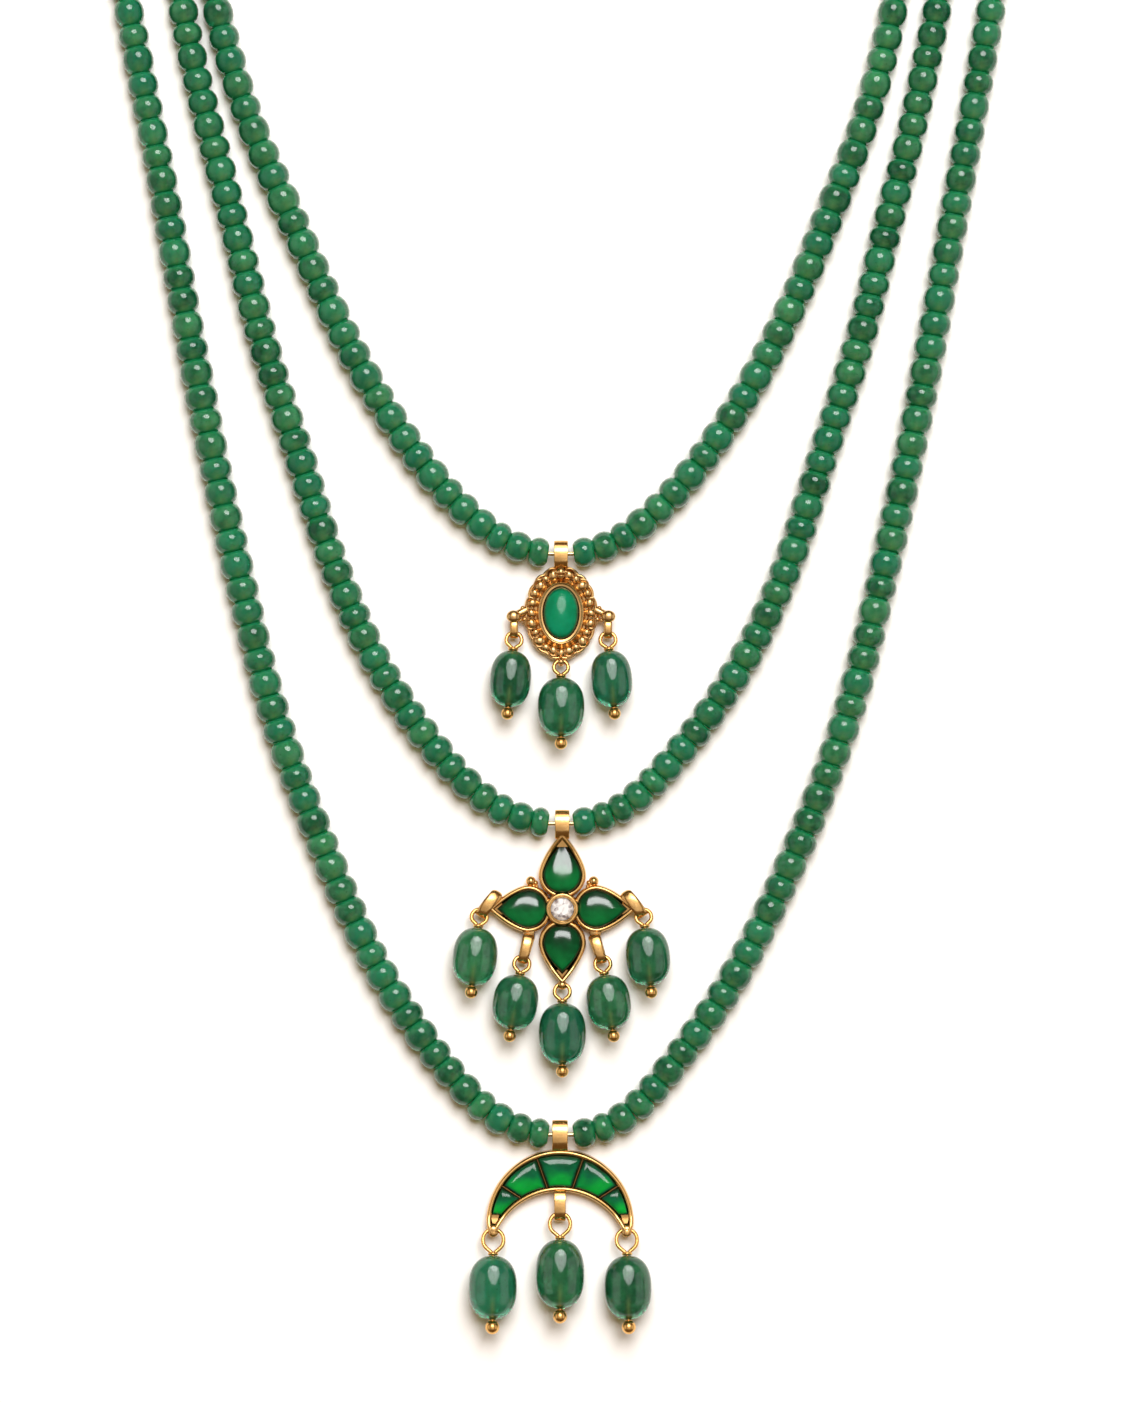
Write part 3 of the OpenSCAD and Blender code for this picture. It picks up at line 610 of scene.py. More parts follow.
class HalfLine:
    """One side of a strand: places along it, and where its loose beads end."""

    def __init__(self, row, side):
        self.points = fine(row["line"])
        self.s = np.r_[0, np.cumsum(np.linalg.norm(np.diff(self.points, axis=0), axis=1))]
        self.lean = np.array(row["lean"], float)
        self.side = side
        rising = np.argmax(self.points[1:, 1] >= FRONT_END) + 1
        span = slice(rising - 1, rising + 1)
        self.front = np.interp(FRONT_END, self.points[span, 1], self.s[span])

    def at(self, s, z):
        """The place at a distance along the line."""
        x = np.interp(s, self.s, self.points[:, 0])
        y = np.interp(s, self.s, self.points[:, 1])
        return np.array([self.side * x + np.interp(y, self.lean[:, 0], self.lean[:, 1]), y, z])

    def radius(self, s):
        """The strand's radius, which is also the height of its wire."""
        marks = [0, 12, 35, 0.7 * self.front, self.front]
        sizes = [BEAD_R_AT_BAIL, (BEAD_R_AT_BAIL + 2 * BEAD_R) / 3, BEAD_R, BEAD_R, BEAD_R_AT_BACK]
        return np.interp(s, marks, sizes)


def joints(row, half):
    """The places between the loose beads of one side, from the pendant outwards."""
    j = np.arange(row["count"])
    swing = np.sin(np.radians(GOLDEN_TURN * j + row["vary"] * half.side))
    weights = 1 - 0.16 * np.exp(-j / 5) + 0.1 * swing
    shares = np.r_[0, np.cumsum(weights) / weights.sum()]
    return np.array([half.at(s, half.radius(s)) for s in BARE_HALF + shares * (half.front - BARE_HALF)])


def back_joints(half, pitch):
    """The places between the beads of the hidden back of one side."""
    start = half.front + 0.16
    end = half.s[-1] - 0.35
    count = round((end - start) / pitch)
    return np.array([half.at(s, BEAD_R_AT_BACK) for s in np.linspace(start, end, count + 1)])


# %% [markdown]
# ## One bead
# A drilled bead is turned: a round belly, a small rounded shoulder, a slightly hollow end and a straight
# bore. Its outline closes on itself through the bore, so the bead is a ring in the mathematical sense,
# and light can pass through stone and wire as in the real one. It is made at unit size and scaled.

# %% The shape of a strand bead
BEAD_SIDES = 12
lower = [(0.2, -0.98), (0.62, -1.0), (0.81, -0.79), (0.95, -0.43)]
bead_profile = [*lower, (1.0, 0.0), *[(r, -z) for r, z in lower[::-1]]]
points, faces = turned(bead_profile, BEAD_SIDES, looped=True)
bead_mesh = mesh_of("strand_bead", (points / MM, faces), strand_quartz, 89)

# The neck is the end round the bore, which the quartz paints a brighter green as painted light, and the
# streak over the bore lies on the side that faces up
x, y, z = points.T
paint(bead_mesh, "neck", np.interp(np.hypot(x, y), [0.2, 0.64, 0.82, 0.95], [1.0, 1.0, 0.5, 0.0]))
streak = np.exp(-(y / 0.25) ** 2) * (x > 0)
paint(bead_mesh, "bore", streak * np.interp(z, [-1.0, -0.7, -0.3, 0.7, 1.0], [1, 1, 0, 0, 0.5]))
bead_shape = shape_for(bead_mesh)
print("one bead has", len(bead_mesh.polygons), "faces")

# %% [markdown]
# ## Stringing
# The loose beads sit end to end on the line, each a little longer or shorter than the next, and they
# get slimmer towards the pendant and towards the back. Beads can't overlap where the line turns, so
# there each is made shorter. The back is out of the picture and has plain even beads.

# %% Beads and wires of the strands
BEAD_LIFT = 0.11  # the fattest beads are thicker than their wire is high, and this keeps them on the paper
BEAD_GAP = 0.01
TURN_SHARE = 0.4  # how much a turn in the line shortens the beads beside it
BACK_BEAD_R = 2.85
WIRE_R = 0.45


def strung_beads(name, lines, radii, seed, node, across=1.0):
    """Beads between the places of each line, which may be thicker across than upwards."""
    centres, along, size = [], [], []
    for line, r in zip(lines, radii):
        chords = np.diff(line, axis=0)
        lengths = np.linalg.norm(chords, axis=1)
        ahead = chords / lengths[:, None]
        turns = np.arccos(np.clip((ahead[1:] * ahead[:-1]).sum(1), -1, 1))
        bend = np.maximum(np.r_[0, turns], np.r_[turns, 0])
        half = (lengths - BEAD_GAP - TURN_SHARE * r * np.tan(bend / 2)) / 2
        centres.append((line[:-1] + line[1:]) / 2 + (0, 0, BEAD_LIFT))
        along.append(ahead)
        size.append(np.c_[r, r * across, half] * MM)
    fields = {"along": np.concatenate(along), "size": np.concatenate(size)}
    mesh = grown(name, strung, np.concatenate(centres), [],
                 {"Shape": bead_shape, "Finish": strand_quartz, "Seed": seed}, fields)
    piece(name, mesh, "strand_bead", node)


def front_radii(line, row, side):
    """How thick the loose beads of one side are, each a little different."""
    swing = np.sin(np.radians(3 * GOLDEN_TURN * np.arange(row["count"]) + row["vary"] * side))
    return np.minimum(line[:-1, 2], line[1:, 2]) * (1.02 - 0.012 * swing)


for number, (name, row) in enumerate(STRANDS.items()):
    halves = [HalfLine(row, side) for side in (-1, 1)]
    fronts = [joints(row, half) for half in halves]
    pitch = np.linalg.norm(np.diff(fronts[1], axis=0), axis=1).mean()
    backs = [back_joints(half, pitch) for half in halves]
    strung_beads(name + "_strand_beads", fronts,
                 [front_radii(line, row, half.side) for line, half in zip(fronts, halves)],
                 11 + number, name + "_beads", 1.03)
    strung_beads(name + "_back_beads", backs, [np.full(len(line) - 1, BACK_BEAD_R) for line in backs],
                 21 + number, name + "_back_strand")
    thread_line = np.concatenate([fronts[0][::-1], fronts[1]])
    # Inside the beads the wire is painted dark, as shade seen through the stone
    hidden = np.where(np.abs(thread_line[:, 0]) > BARE_HALF + 0.5, 1.0, 0.0)
    piece(name + "_stringing_wire", wire(name + "_wire", [thread_line], WIRE_R, brass_wire, soil=hidden),
          "stringing_wire", name + "_thread")
    piece(name + "_back_wire", wire(name + "_back_wire", backs, WIRE_R, brass_wire), "stringing_wire")
    print(name, "bead pitch", round(pitch, 2), "mm, back beads", sum(len(b) - 1 for b in backs))

# %% [markdown]
# ## The clasp
# The photograph's edge hides it, so it is one plain piece: a small polished block with a short tube for
# each wire. Its edges are rounded over, because a sharp edge would catch on clothes and hair.

# %% Clasp
def fuller(wave, power):
    """A sine or cosine swollen towards its ends, which fills out the corners of a round."""
    return np.sign(wave) * np.abs(wave) ** (2 / power)


def pillow(half_x, half_y, low, high, edge, sides=64, power=6):
    """A block with a rounded plan and rounded edges."""
    a = np.linspace(0, 2 * math.pi, sides, endpoint=False)
    x, y = fuller(np.cos(a), power), fuller(np.sin(a), power)
    rounding = [(edge * (1 - math.sin(t)), edge * (1 - math.cos(t))) for t in np.linspace(0, math.pi / 2, 5)]
    levels = [(drop, low + up) for drop, up in rounding] + [(drop, high - up) for drop, up in rounding[::-1]]
    return skin([np.c_[(half_x - drop) * x, (half_y - drop) * y, np.full(sides, z)] for drop, z in levels])


clasp_y = 171
clasp_z = 2.9
clasp_half_x = 6
socket = turned([(1.4, -2), (1.4, 1.35), (1.3, 1.55), (1.1, 1.6), (0.6, 1.6), (0.6, 0.6)], 24)
clasp_parts = [placed(pillow(clasp_half_x, 10.4, -2.1, 2.1, 0.8), Matrix.Translation((0, clasp_y, clasp_z)))]
for row in STRANDS.values():
    for side in (-1, 1):
        at = Matrix.Translation((side * clasp_half_x, row["line"][-1][1], clasp_z))
        clasp_parts.append(placed(socket, at @ Matrix.Rotation(side * math.pi / 2, 4, "Y")))
piece("gold_clasp", mesh_of("gold_clasp", joined(clasp_parts), bright_gold), "gold", "clasp")

# %% [markdown]
# ## The drops
# Each drop hangs by a head pin: a wire with a ball at one end, pushed up through the bead and bent into
# an eye above a small collar. The eye is pear-shaped, because the wire leaves the collar as a V before
# it goes round. Each bead lies on the paper, and as it is thicker than its setting the drop tilts.

# %% Sizes and places of the drops
OVAL_AT = np.array([0, -36.8])
FLOWER_AT = np.array([0.25, -96])
CRESCENT_AT = np.array([-0.2, -159])
DROP_COLUMNS = ["name", "eye", "lean", "r", "half", "reach", "eye_r", "head_r"]
DROP_ROWS = [
    ("oval_drop_left", OVAL_AT + (-9.4, -5.4), -5, 4.15, 5.7, 8, 1.54, 1.25),
    ("oval_drop_centre", OVAL_AT + (0, -10.9), 0, 4.7, 5.95, 8.1, 1.42, 1.27),
    ("oval_drop_right", OVAL_AT + (9.4, -5.4), 5, 4.15, 5.7, 8, 1.54, 1.25),
    ("flower_drop_outer_left", FLOWER_AT + (-16.6, -1.6), -6, 4.5, 5.8, 8.1, 1.54, 1.27),
    ("flower_drop_inner_left", FLOWER_AT + (-8.1, -11), -9.5, 4.55, 5.5, 7.85, 1.54, 1.25),
    ("flower_drop_centre", FLOWER_AT + (0, -16.5), 0, 4.75, 6.15, 8.55, 1.54, 1.27),
    ("flower_drop_inner_right", FLOWER_AT + (8.1, -11), 8.5, 4.45, 5.5, 7.85, 1.54, 1.25),
    ("flower_drop_outer_right", FLOWER_AT + (16.3, -1.6), 5.5, 4.5, 5.8, 8.1, 1.54, 1.27),
    ("crescent_drop_left", CRESCENT_AT + (-13.35, -3.1), -0.5, 4.85, 6.35, 9.65, 2.06, 1.43),
    ("crescent_drop_centre", CRESCENT_AT + (0, 0.1), 0, 4.9, 6.9, 10.15, 2.06, 1.43),
    ("crescent_drop_right", CRESCENT_AT + (13.35, -3.1), 1.2, 4.75, 6.35, 9.65, 2.06, 1.43),
]
DROPS = [dict(zip(DROP_COLUMNS, row)) for row in DROP_ROWS]
TILT = math.radians(12)
DROP_ROUND = 2.4  # 2 would be an ellipse
DROP_GAP = 0.12  # between a bead's ends and the collar and ball of its pin


def drop_profile(d, steps=20, edge=0.0):
    """Distances out and places along the pin of a drop bead, from its lower end to its upper one."""
    a = np.radians(np.linspace(-90 + edge, 90 - edge, steps))
    return d["r"] * fuller(np.cos(a), DROP_ROUND), d["half"] * fuller(np.sin(a), DROP_ROUND)


def eye_height(d):
    """Height of a drop's eye when its bead lies tilted on the paper."""
    out, up = drop_profile(d, 13)
    return (out * math.cos(TILT) + up * math.sin(TILT)).max() - d["reach"] * math.sin(TILT)


def drop_place(d):
    """From a drop's own frame, with its eye at the origin and its pin along -Y, to the necklace's."""
    turn = Matrix.Rotation(math.radians(d["lean"]), 4, "Z") @ Matrix.Rotation(-TILT, 4, "X")
    return Matrix.Translation((*d["eye"], eye_height(d))) @ turn


print("eyes are", [round(eye_height(d), 1) for d in DROPS], "mm up")

# %% Drop beads
DRESSED = 0.997  # the finished bead stays a hair inside its solid
BORE_R = 0.52


def drop_bead(d):
    """A drilled oval bead, turned, with a small hollow at each end where the drill went in."""
    out, up = drop_profile(dict(d, r=DRESSED * d["r"]), 26, 4)
    keep = out > BORE_R + 0.35
    belly = list(zip(out[keep], up[keep]))
    end = d["half"] - 0.02
    profile = [(BORE_R, -end + 0.25), (BORE_R + 0.3, -end), *belly, (BORE_R + 0.3, end), (BORE_R, end - 0.25)]
    points, faces = turned(profile, 40, looped=True)
    streak = 0.8 * np.exp(-(points[:, 0] / 0.42) ** 2) * (points[:, 1] < 0)
    streak *= np.interp(points[:, 2] / d["half"], [-1, -0.6, -0.3, 0.7, 0.85, 1], [1, 0.8, 0, 0, 0.7, 1])
    upright = Matrix.Translation((0, -d["reach"], 0)) @ Matrix.Rotation(-math.pi / 2, 4, "X")
    return placed((np.c_[points, streak], faces), drop_place(d) @ upright)


for number, d in enumerate(DROPS):
    mesh = mesh_of(d["name"] + "_stone", drop_bead(d), drop_quartz, fourth="bore")
    paint(mesh, "tone", number * 0.618 % 1)
    piece(d["name"] + "_stone", mesh, "drop_bead", d["name"] + "_bead")

# %% Head pins
PIN_R = 0.36
EYE_WIRE_R = 0.41


def eye_path(d, foot):
    """The line of a pear-shaped eye, from its foot on one side round to the other."""
    r = d["eye_r"]
    part = 0.28
    t = np.linspace(0, 1, 10)[:, None]
    p = np.array([(r, 0), (r, -0.55 * foot), (part + 0.42 * foot, -0.6 * foot), (part, -foot)])
    leg = (1 - t) ** 3 * p[0] + 3 * (1 - t) ** 2 * t * p[1] + 3 * (1 - t) * t ** 2 * p[2] + t ** 3 * p[3]
    a = np.linspace(0, math.pi, 21)[1:-1]
    over = np.c_[r * np.cos(a), r * np.sin(a)]
    flat = np.concatenate([leg[::-1], over, leg * (-1, 1)])
    return np.c_[flat, np.linspace(-0.12, 0.12, len(flat))]


def pin_shell(d):
    """The collar, shaft, neck and ball of a head pin."""
    top = d["reach"] - d["half"] - DROP_GAP
    under = d["reach"] + d["half"] + DROP_GAP
    head = under + d["head_r"]
    collar = turned([(0.5, top), (0.9, top - 0.02), (1.02, top - 0.16), (1.02, top - 0.42),
                     (0.88, top - 0.58), (0.5, top - 0.66)], 24)
    shaft = turned([(PIN_R, top - 0.3), (PIN_R, head)], 16)
    neck = turned([(0.5, under - 0.02), (0.72, under + 0.12), (0.6, under + 0.5)], 20)
    return placed(joined([collar, shaft, neck, ball(d["head_r"], (0, 0, head), 28)]),
                  drop_place(d) @ Matrix.Rotation(math.pi / 2, 4, "X"))


for d in DROPS:
    foot = d["reach"] - d["half"] - DROP_GAP - 0.5
    path = [drop_place(d) @ Vector(p) for p in eye_path(d, foot)]
    eye = wire(d["name"] + "_eye", [path], EYE_WIRE_R, pin_gold)
    mesh = mesh_of(d["name"] + "_head_pin", joined([pin_shell(d), shell_of(eye)]), pin_gold)
    piece(d["name"] + "_head_pin", mesh, "gold", d["name"] + "_pin")

# %% [markdown]
# ## Straps
# Bails and hooks are flat strip bent into long loops: a bail rides on the stringing wire and a hook
# holds an eye. Strip that has been drawn and polished is slightly crowned and has soft edges, and it is
# those edges that catch the light as two thin bright lines.

# %% Strip bent into a loop
def loop_path(ahead, back, half_z, power=2.05, steps=64):
    """The line of a long loop in the YZ plane, from y = -ahead to y = back."""
    a = np.linspace(0, 2 * math.pi, steps, endpoint=False)
    y = fuller(np.cos(a), power) * (ahead + back) / 2 + (back - ahead) / 2
    return np.c_[y, fuller(np.sin(a), power) * half_z]


def strap(ahead, back, half_z, wall, width, end_width, crown, edge, bend=0.0, rounded=0):
    """A strip bent into a loop. It may narrow towards y = -ahead, and curve aside towards y = back."""
    line = loop_path(ahead, back, half_z)
    along = np.roll(line, -1, axis=0) - np.roll(line, 1, axis=0)
    along /= np.linalg.norm(along, axis=1)[:, None]
    outward = np.c_[along[:, 1], -along[:, 0]]
    rings = []
    for (y, z), out in zip(line, outward):
        half = np.interp(y, [-ahead, back], [end_width, width]) / 2
        half *= 1 - 0.3 * np.clip((y - back + 0.6) / 0.6, 0, 1) ** 2 * rounded
        left = [(-half, -wall + edge), (-half, -edge - crown), (-half + edge, -crown),
                (-half * 0.5, -crown * 0.2)]
        section = [*left, (0, 0), *[(-x, depth) for x, depth in left[::-1]],
                   (half - edge, -wall), (-half + edge, -wall)]
        aside = bend * ((y + ahead) / (ahead + back)) ** 2
        rings.append(np.array([(x + aside, y + out[0] * depth, z + out[1] * depth) for x, depth in section]))
    return skin(rings, looped=True)


def bail(x, y, above, below, width):
    """A bail round the stringing wire, reaching down to its setting."""
    return placed(strap(below, above, 1.6, 0.5, width, width, 0.05, 0.07),
                  Matrix.Translation((x, y, BEAD_R_AT_BAIL)))


# %% Hooks
# Fits sets how deep the strip lies in its eye. Width is at its back, and end width is at the eye
HOOK_COLUMNS = ["turn", "fits", "width", "end_width", "back", "bend", "crown", "half_z"]
HOOK_ROWS = [
    (5, 1.4, 1.61, 1.61, 3.2, 0, 0.06, 1.4),
    (0, 1.2, 1.2, 1.2, 0.9, 0, 0.3, 1.4),
    (-5, 1.4, 1.61, 1.61, 3.2, 0, 0.06, 1.4),
    (-26, 1.8, 2.34, 2.34, 4.9, 0.6, 0.1, 1.4),
    (-5, 1.8, 2.52, 1.9, 4.7, 0, 0.1, 1.4),
    (0, 1.2, 1.68, 1.68, 0.9, 0, 0.3, 1.4),
    (6, 1.8, 2.52, 1.9, 4.7, -0.35, 0.1, 1.4),
    (26.5, 1.8, 2.34, 2.34, 4.9, -0.6, 0.1, 1.4),
    (0, 1.6, 1.92, 1.92, 1.2, 0, 0.2, 1.2),
    (0, 2.4, 2.28, 2.28, 4.7, 0, 0.05, 1.4),
    (0, 1.6, 1.92, 1.92, 1.2, 0, 0.2, 1.2),
]
HOOK_WALL = 0.45
HOOK_PLAY = 0.25  # between a hook's inside and the wire of its eye


def hook(d, turn, fits, width, end_width, back, bend, crown, half_z):
    """The hook of one drop, through its eye and back to the setting."""
    a, lean = math.radians(turn), math.radians(d["lean"])
    x = -d["eye_r"] * math.sin(a)
    y = d["eye_r"] * math.cos(a) * math.cos(TILT)
    z = -d["eye_r"] * math.cos(a) * math.sin(TILT)
    top = (d["eye"][0] + x * math.cos(lean) - y * math.sin(lean),
           d["eye"][1] + x * math.sin(lean) + y * math.cos(lean), eye_height(d) + z)
    inside = d["eye_r"] - math.sqrt((d["eye_r"] - PIN_R) ** 2 - (fits / 2) ** 2)
    shell = strap(inside + HOOK_PLAY + HOOK_WALL, back, half_z, HOOK_WALL, width, end_width, crown, 0.08,
                  bend, rounded=1)
    return placed(shell, Matrix.Translation(top) @ Matrix.Rotation(lean + a, 4, "Z"))


HOOKS = [hook(d, **dict(zip(HOOK_COLUMNS, row))) for d, row in zip(DROPS, HOOK_ROWS)]
print(len(HOOKS), "hooks of", len(HOOKS[0][0]), "points each")

# %% [markdown]
# ## Cups
# A closed-back setting is a plate with a wall round it. The wall leans in a little on the outside, is
# rounded over on top and drops to the floor inside. One section, run round any outline, makes them all:
# a petal, the crescent, the collet and the bezel. Each point of the outline moves in by the section's
# offset along its own mitre, so the corners stay true.

# %% A section run round an outline
def inset(outline, distance):
    """A counter-clockwise outline moved inwards, with mitred corners."""
    before = outline - np.roll(outline, 1, axis=0)
    after = np.roll(outline, -1, axis=0) - outline
    before /= np.linalg.norm(before, axis=1)[:, None]
    after /= np.linalg.norm(after, axis=1)[:, None]
    mean = before + after
    mean /= np.linalg.norm(mean, axis=1)[:, None]
    inwards = np.c_[-mean[:, 1], mean[:, 0]]
    stretch = 1 / np.maximum(0.4, np.abs((mean * after).sum(1)))
    return outline + distance * stretch[:, None] * inwards


def cup(outline, section, lift=None, strips=False):
    """A closed shell from an outline and a section of offsets in, heights and painted shade, outside to
    inside.

    Lift says how far each point of the upper wall is raised. Strips close the ends by narrow faces across
    the outline, which suits one that curves, such as a crescent.
    """
    rings = []
    for offset, z, *soil in section:
        ring = inset(outline, offset)
        heights = z + (lift(ring) * min(1, max(0, z - 1.5)) if lift else np.zeros(len(ring)))
        rings.append(np.c_[ring, heights, np.full(len(ring), soil[0] if soil else 0.0)])
    points, faces = skin(rings)
    if strips:
        count = len(outline)
        tops = [(i, i + 1, count - 2 - i, count - 1 - i) for i in range(count // 2 - 1)]
        start = len(points) - count
        faces = faces[:-2] + tops + [tuple(start + i for i in face) for face in tops]
    return points, faces


def wall_section(width, top, floor, lean=0.08, rise=0.55, steps=9):
    """A wall's section: up outside, over a half-round edge and down to the floor, with the inner wall and
    floor painted dark as shade.
    """
    half = width / 2
    over = [(lean + half - half * math.cos(t), top - rise * (1 - math.sin(t)))
            for t in np.linspace(0.05, math.pi - 0.05, steps)]
    return [(0.06, 0), (0, 0.15), (0.02, 1.2), *over, (lean + width + 0.03, top - rise - 0.25, 0.5),
            (lean + width + 0.1, floor + 0.1, 1), (lean + width + 0.2, floor, 1)]


def ellipse(half_x, half_y, sides):
    """An oval outline, counter-clockwise."""
    a = np.linspace(0, 2 * math.pi, sides, endpoint=False)
    return np.c_[half_x * np.cos(a), half_y * np.sin(a)]


def put(shell, at):
    """A shell moved to its pendant's place."""
    return placed(shell, Matrix.Translation((at[0], at[1], 0)))


def setting(name, shells, material, *nodes):
    """The metal of a pendant, soldered into one piece."""
    piece(name, mesh_of(name, joined(shells), material, 40), "gold", *nodes)


# %% [markdown]
# ## Domed stones
# A cabochon is ground to a dome over a short straight wall, which the setting grips. Its underside lies
# in the cup and isn't seen. The stone looks dark at the edge, where it turns away, and glows on the side
# opposite the light, so both are painted on its points for the glass to read.

# %% Cabochons
STONE_FOOT = 1.65  # every stone stands this high, just above the floor of its cup


def dome(outline, girdle, height, rings=13, power=0.9, skew=0.0, keep=2.0, arch=None):
    """A cabochon: a short wall, then rings that close to the crown. Its fourth value is low at the edge,
    where the glass paints shade.

    Skew leans the crown up towards +Y, as a stone sits in a pendant that its own drops push up from below.
    Keep is how far up the dome the outline's corners last before the rings turn round. An arch, where one
    is given, says how high the stone is at a point, as a share of the height.
    """
    a = np.radians(np.linspace(0, 88, rings))
    shrink = np.array([0.97, 1, 1, *(np.cos(a[1:]) ** power)])
    way = np.arctan2(outline[:, 1], outline[:, 0])
    waves = np.array([np.ones(len(way))] + [f(n * way) for n in (1, 2) for f in (np.cos, np.sin)]).T
    far = waves @ np.linalg.lstsq(waves, np.hypot(*outline.T), rcond=None)[0]
    smooth = np.c_[far * np.cos(way), far * np.sin(way)]
    foot = [0, 0.05, *[girdle] * rings]
    edge = np.interp(shrink, [0.84, 0.99], [1.0, 0.0])
    shares = [0, 0, 0, *np.sin(a[1:])]
    rows = []
    for k, z, share, e in zip(shrink, foot, shares, edge):
        ring = k * (outline * k ** keep + smooth * (1 - k ** keep))
        up = arch(ring) if arch and share else share
        rows.append(np.c_[ring, STONE_FOOT + z + up * (height - skew * ring[:, 1]), np.full(len(ring), e)])
    return skin(rows)


def cabochon(name, shell, material, slot, levels=(0.55, 1.0, 0.8, 0.45, 0.2)):
    """A stone of its own, which stands for a node. Levels are its painted glow from its lowest part to its
    top.
    """
    points, faces = shell
    y = points[:, 1]
    share = (y - y.min()) / (y.max() - y.min())
    points[:, 3] *= np.interp(share, [0, 0.15, 0.4, 0.65, 1], levels)
    mesh = mesh_of(name + "_polished", (points, faces), material, 60, "glow")
    piece(name + "_polished", mesh, slot, name)


# %% [markdown]
# ## The oval pendant
# An old-fashioned cluster: a scalloped plate, a border of granules and little C-scrolls, and a raised
# bezel round a smooth green stone. The granules are laid by a tree along an ellipse, big and small in
# turn. At each side a hooded lug carries a hook, and a bud covers the bail's foot.

# %% Oval plate and bezel
LOBES = [0, 31, 50, 69, 88, 108, 130, 154, 180]  # degrees from the top, where the lobes of one side meet


def lobed(half_x, half_y, depth, steps=9):
    """An oval outline in soft lobes, counter-clockwise."""
    marks = [*LOBES, *(360 - m for m in LOBES[-2:0:-1])]
    points = []
    for low, high in zip(marks, [*marks[1:], 360]):
        for share in np.arange(steps) / steps:
            a = math.radians(low + (high - low) * share)
            swell = depth * (math.sin(math.pi * share) ** 0.7 - 0.5)
            points.append((-(half_x + swell) * math.sin(a), (half_y + swell) * math.cos(a)))
    return np.array(points)


plate_edge = lobed(6.85, 8.95, 0.42)
# The plate's floor between the granules is painted dark, as painted shade with some dirt
plate = cup(plate_edge, [(0.1, 0), (0, 0.15), (0, 1.7), (0.15, 1.95), (0.4, 1.95, 0.2), (0.6, 1.85, 0.45),
                         (1.0, 1.8, 0.5)])
# The bezel's foot and inner wall are painted dark, as painted shade with some dirt
bezel = cup(ellipse(5.6, 7.28, 72), [
    (0, 1.5, 0.4), (0, 1.9, 0.3), (0.1, 2.12, 0.1), (0.3, 2.25), (0.6, 2.42), (0.85, 2.6), (0.96, 2.78),
    (1.07, 2.93), (1.2, 3.0), (1.32, 2.97), (1.43, 2.88), (1.54, 2.83), (1.78, 2.8), (1.9, 2.78),
    (1.98, 2.72, 0.3), (2.02, 2.5, 0.9), (2.06, 1.6, 1),
])
print("the plate's edge has", len(plate_edge), "points")

# %% Bud and side lugs
def pill(half_x, half_y, half_z, at):
    """A polished lump, longer one way than another."""
    points, faces = ball(1.0, sides=24)
    return points * (half_x, half_y, half_z) + np.array(at), faces


bud = turned([(0.3, -0.1), (0.88, 0), (0.95, 0.3), (0.72, 0.75), (0.42, 1.15), (0.12, 1.5)], 20)
finial = placed(bud, Matrix.Translation((0, 8.0, 3.95)) @ Matrix.Rotation(-math.pi / 2, 4, "X"))
horn = turned([(0.9, -0.4), (0.95, 0.2), (0.8, 0.8), (0.8, 1.5), (0.95, 2.1)], 20)
oval_parts = [plate, bezel, finial, pill(0.75, 0.6, 0.6, (0, 7.5, 2.8)),
              pill(0.66, 0.62, 0.6, (0, -9.75, 4.0)),
              *[pill(0.45, 0.4, 0.4, (side * 0.95, 8.2, 3.5)) for side in (-1, 1)]]
for side in (-1, 1):
    turn = Matrix.Rotation(side * 1.35, 4, "Y") @ Matrix.Rotation(0.45, 4, "X")
    oval_parts += [pill(1.42, 1.25, 0.85, (side * 9.5, -0.7, 3.4)),
                   placed(horn, Matrix.Translation((side * 7.3, 0.45, 2.0)) @ turn),
                   ball(0.6, (side * 7.3, -1.25, 2.1)), ball(0.45, (side * 7.7, 1.0, 2.6)),
                   ball(0.4, (side * 8.1, -1.45, 2.6))]
print("the oval has", len(oval_parts), "soldered parts so far")

# %% Granules of the border
GRAINS = 23
grain_shape = shape_for(mesh_of("grain", ball(1.0 / MM, sides=12), antique_gold))

number = np.arange(GRAINS)
swing = np.sin(number * 2.4)
other_swing = np.sin(number * 4.1 + 1)
turn = math.pi / 2 + 2 * math.pi * (number + 1) / (GRAINS + 1)
wide = 6.0 + 0.12 * swing
grain_places = np.c_[wide * np.cos(turn), (wide + 1.86) * np.sin(turn), np.full(GRAINS, 2.4)]
grain_size = np.where(number % 2 == 0, 1.0, 0.8) + 0.08 * other_swing
grain_way = turn + math.pi / 2 + 1.1 * other_swing
fields = {"along": np.c_[np.cos(grain_way), np.sin(grain_way), np.zeros(GRAINS)],
          "size": np.c_[grain_size * 0.62, grain_size * 0.95, grain_size * 1.12] * MM}
grains = grown("grains", strung, grain_places, [],
               {"Shape": grain_shape, "Finish": antique_gold, "Seed": 5}, fields)
print(GRAINS, "granules, from", grain_size.min().round(2), "to", grain_size.max().round(2), "in size")

# %% Scrolls and rope rim of the border
def scroll(centre, size, way, start, end, z=2.45):
    """A C of wire round the outer side of a granule, curled in at one end."""
    out = math.atan2(centre[1], centre[0])
    t = np.linspace(start, end, 16) * way
    r = size * np.interp(np.linspace(0, 1, 16), [0, 0.35, 1], [0.55, 1.0, 0.95])
    return [(centre[0] + k * math.cos(out + s), centre[1] + k * math.sin(out + s), z) for k, s in zip(r, t)]


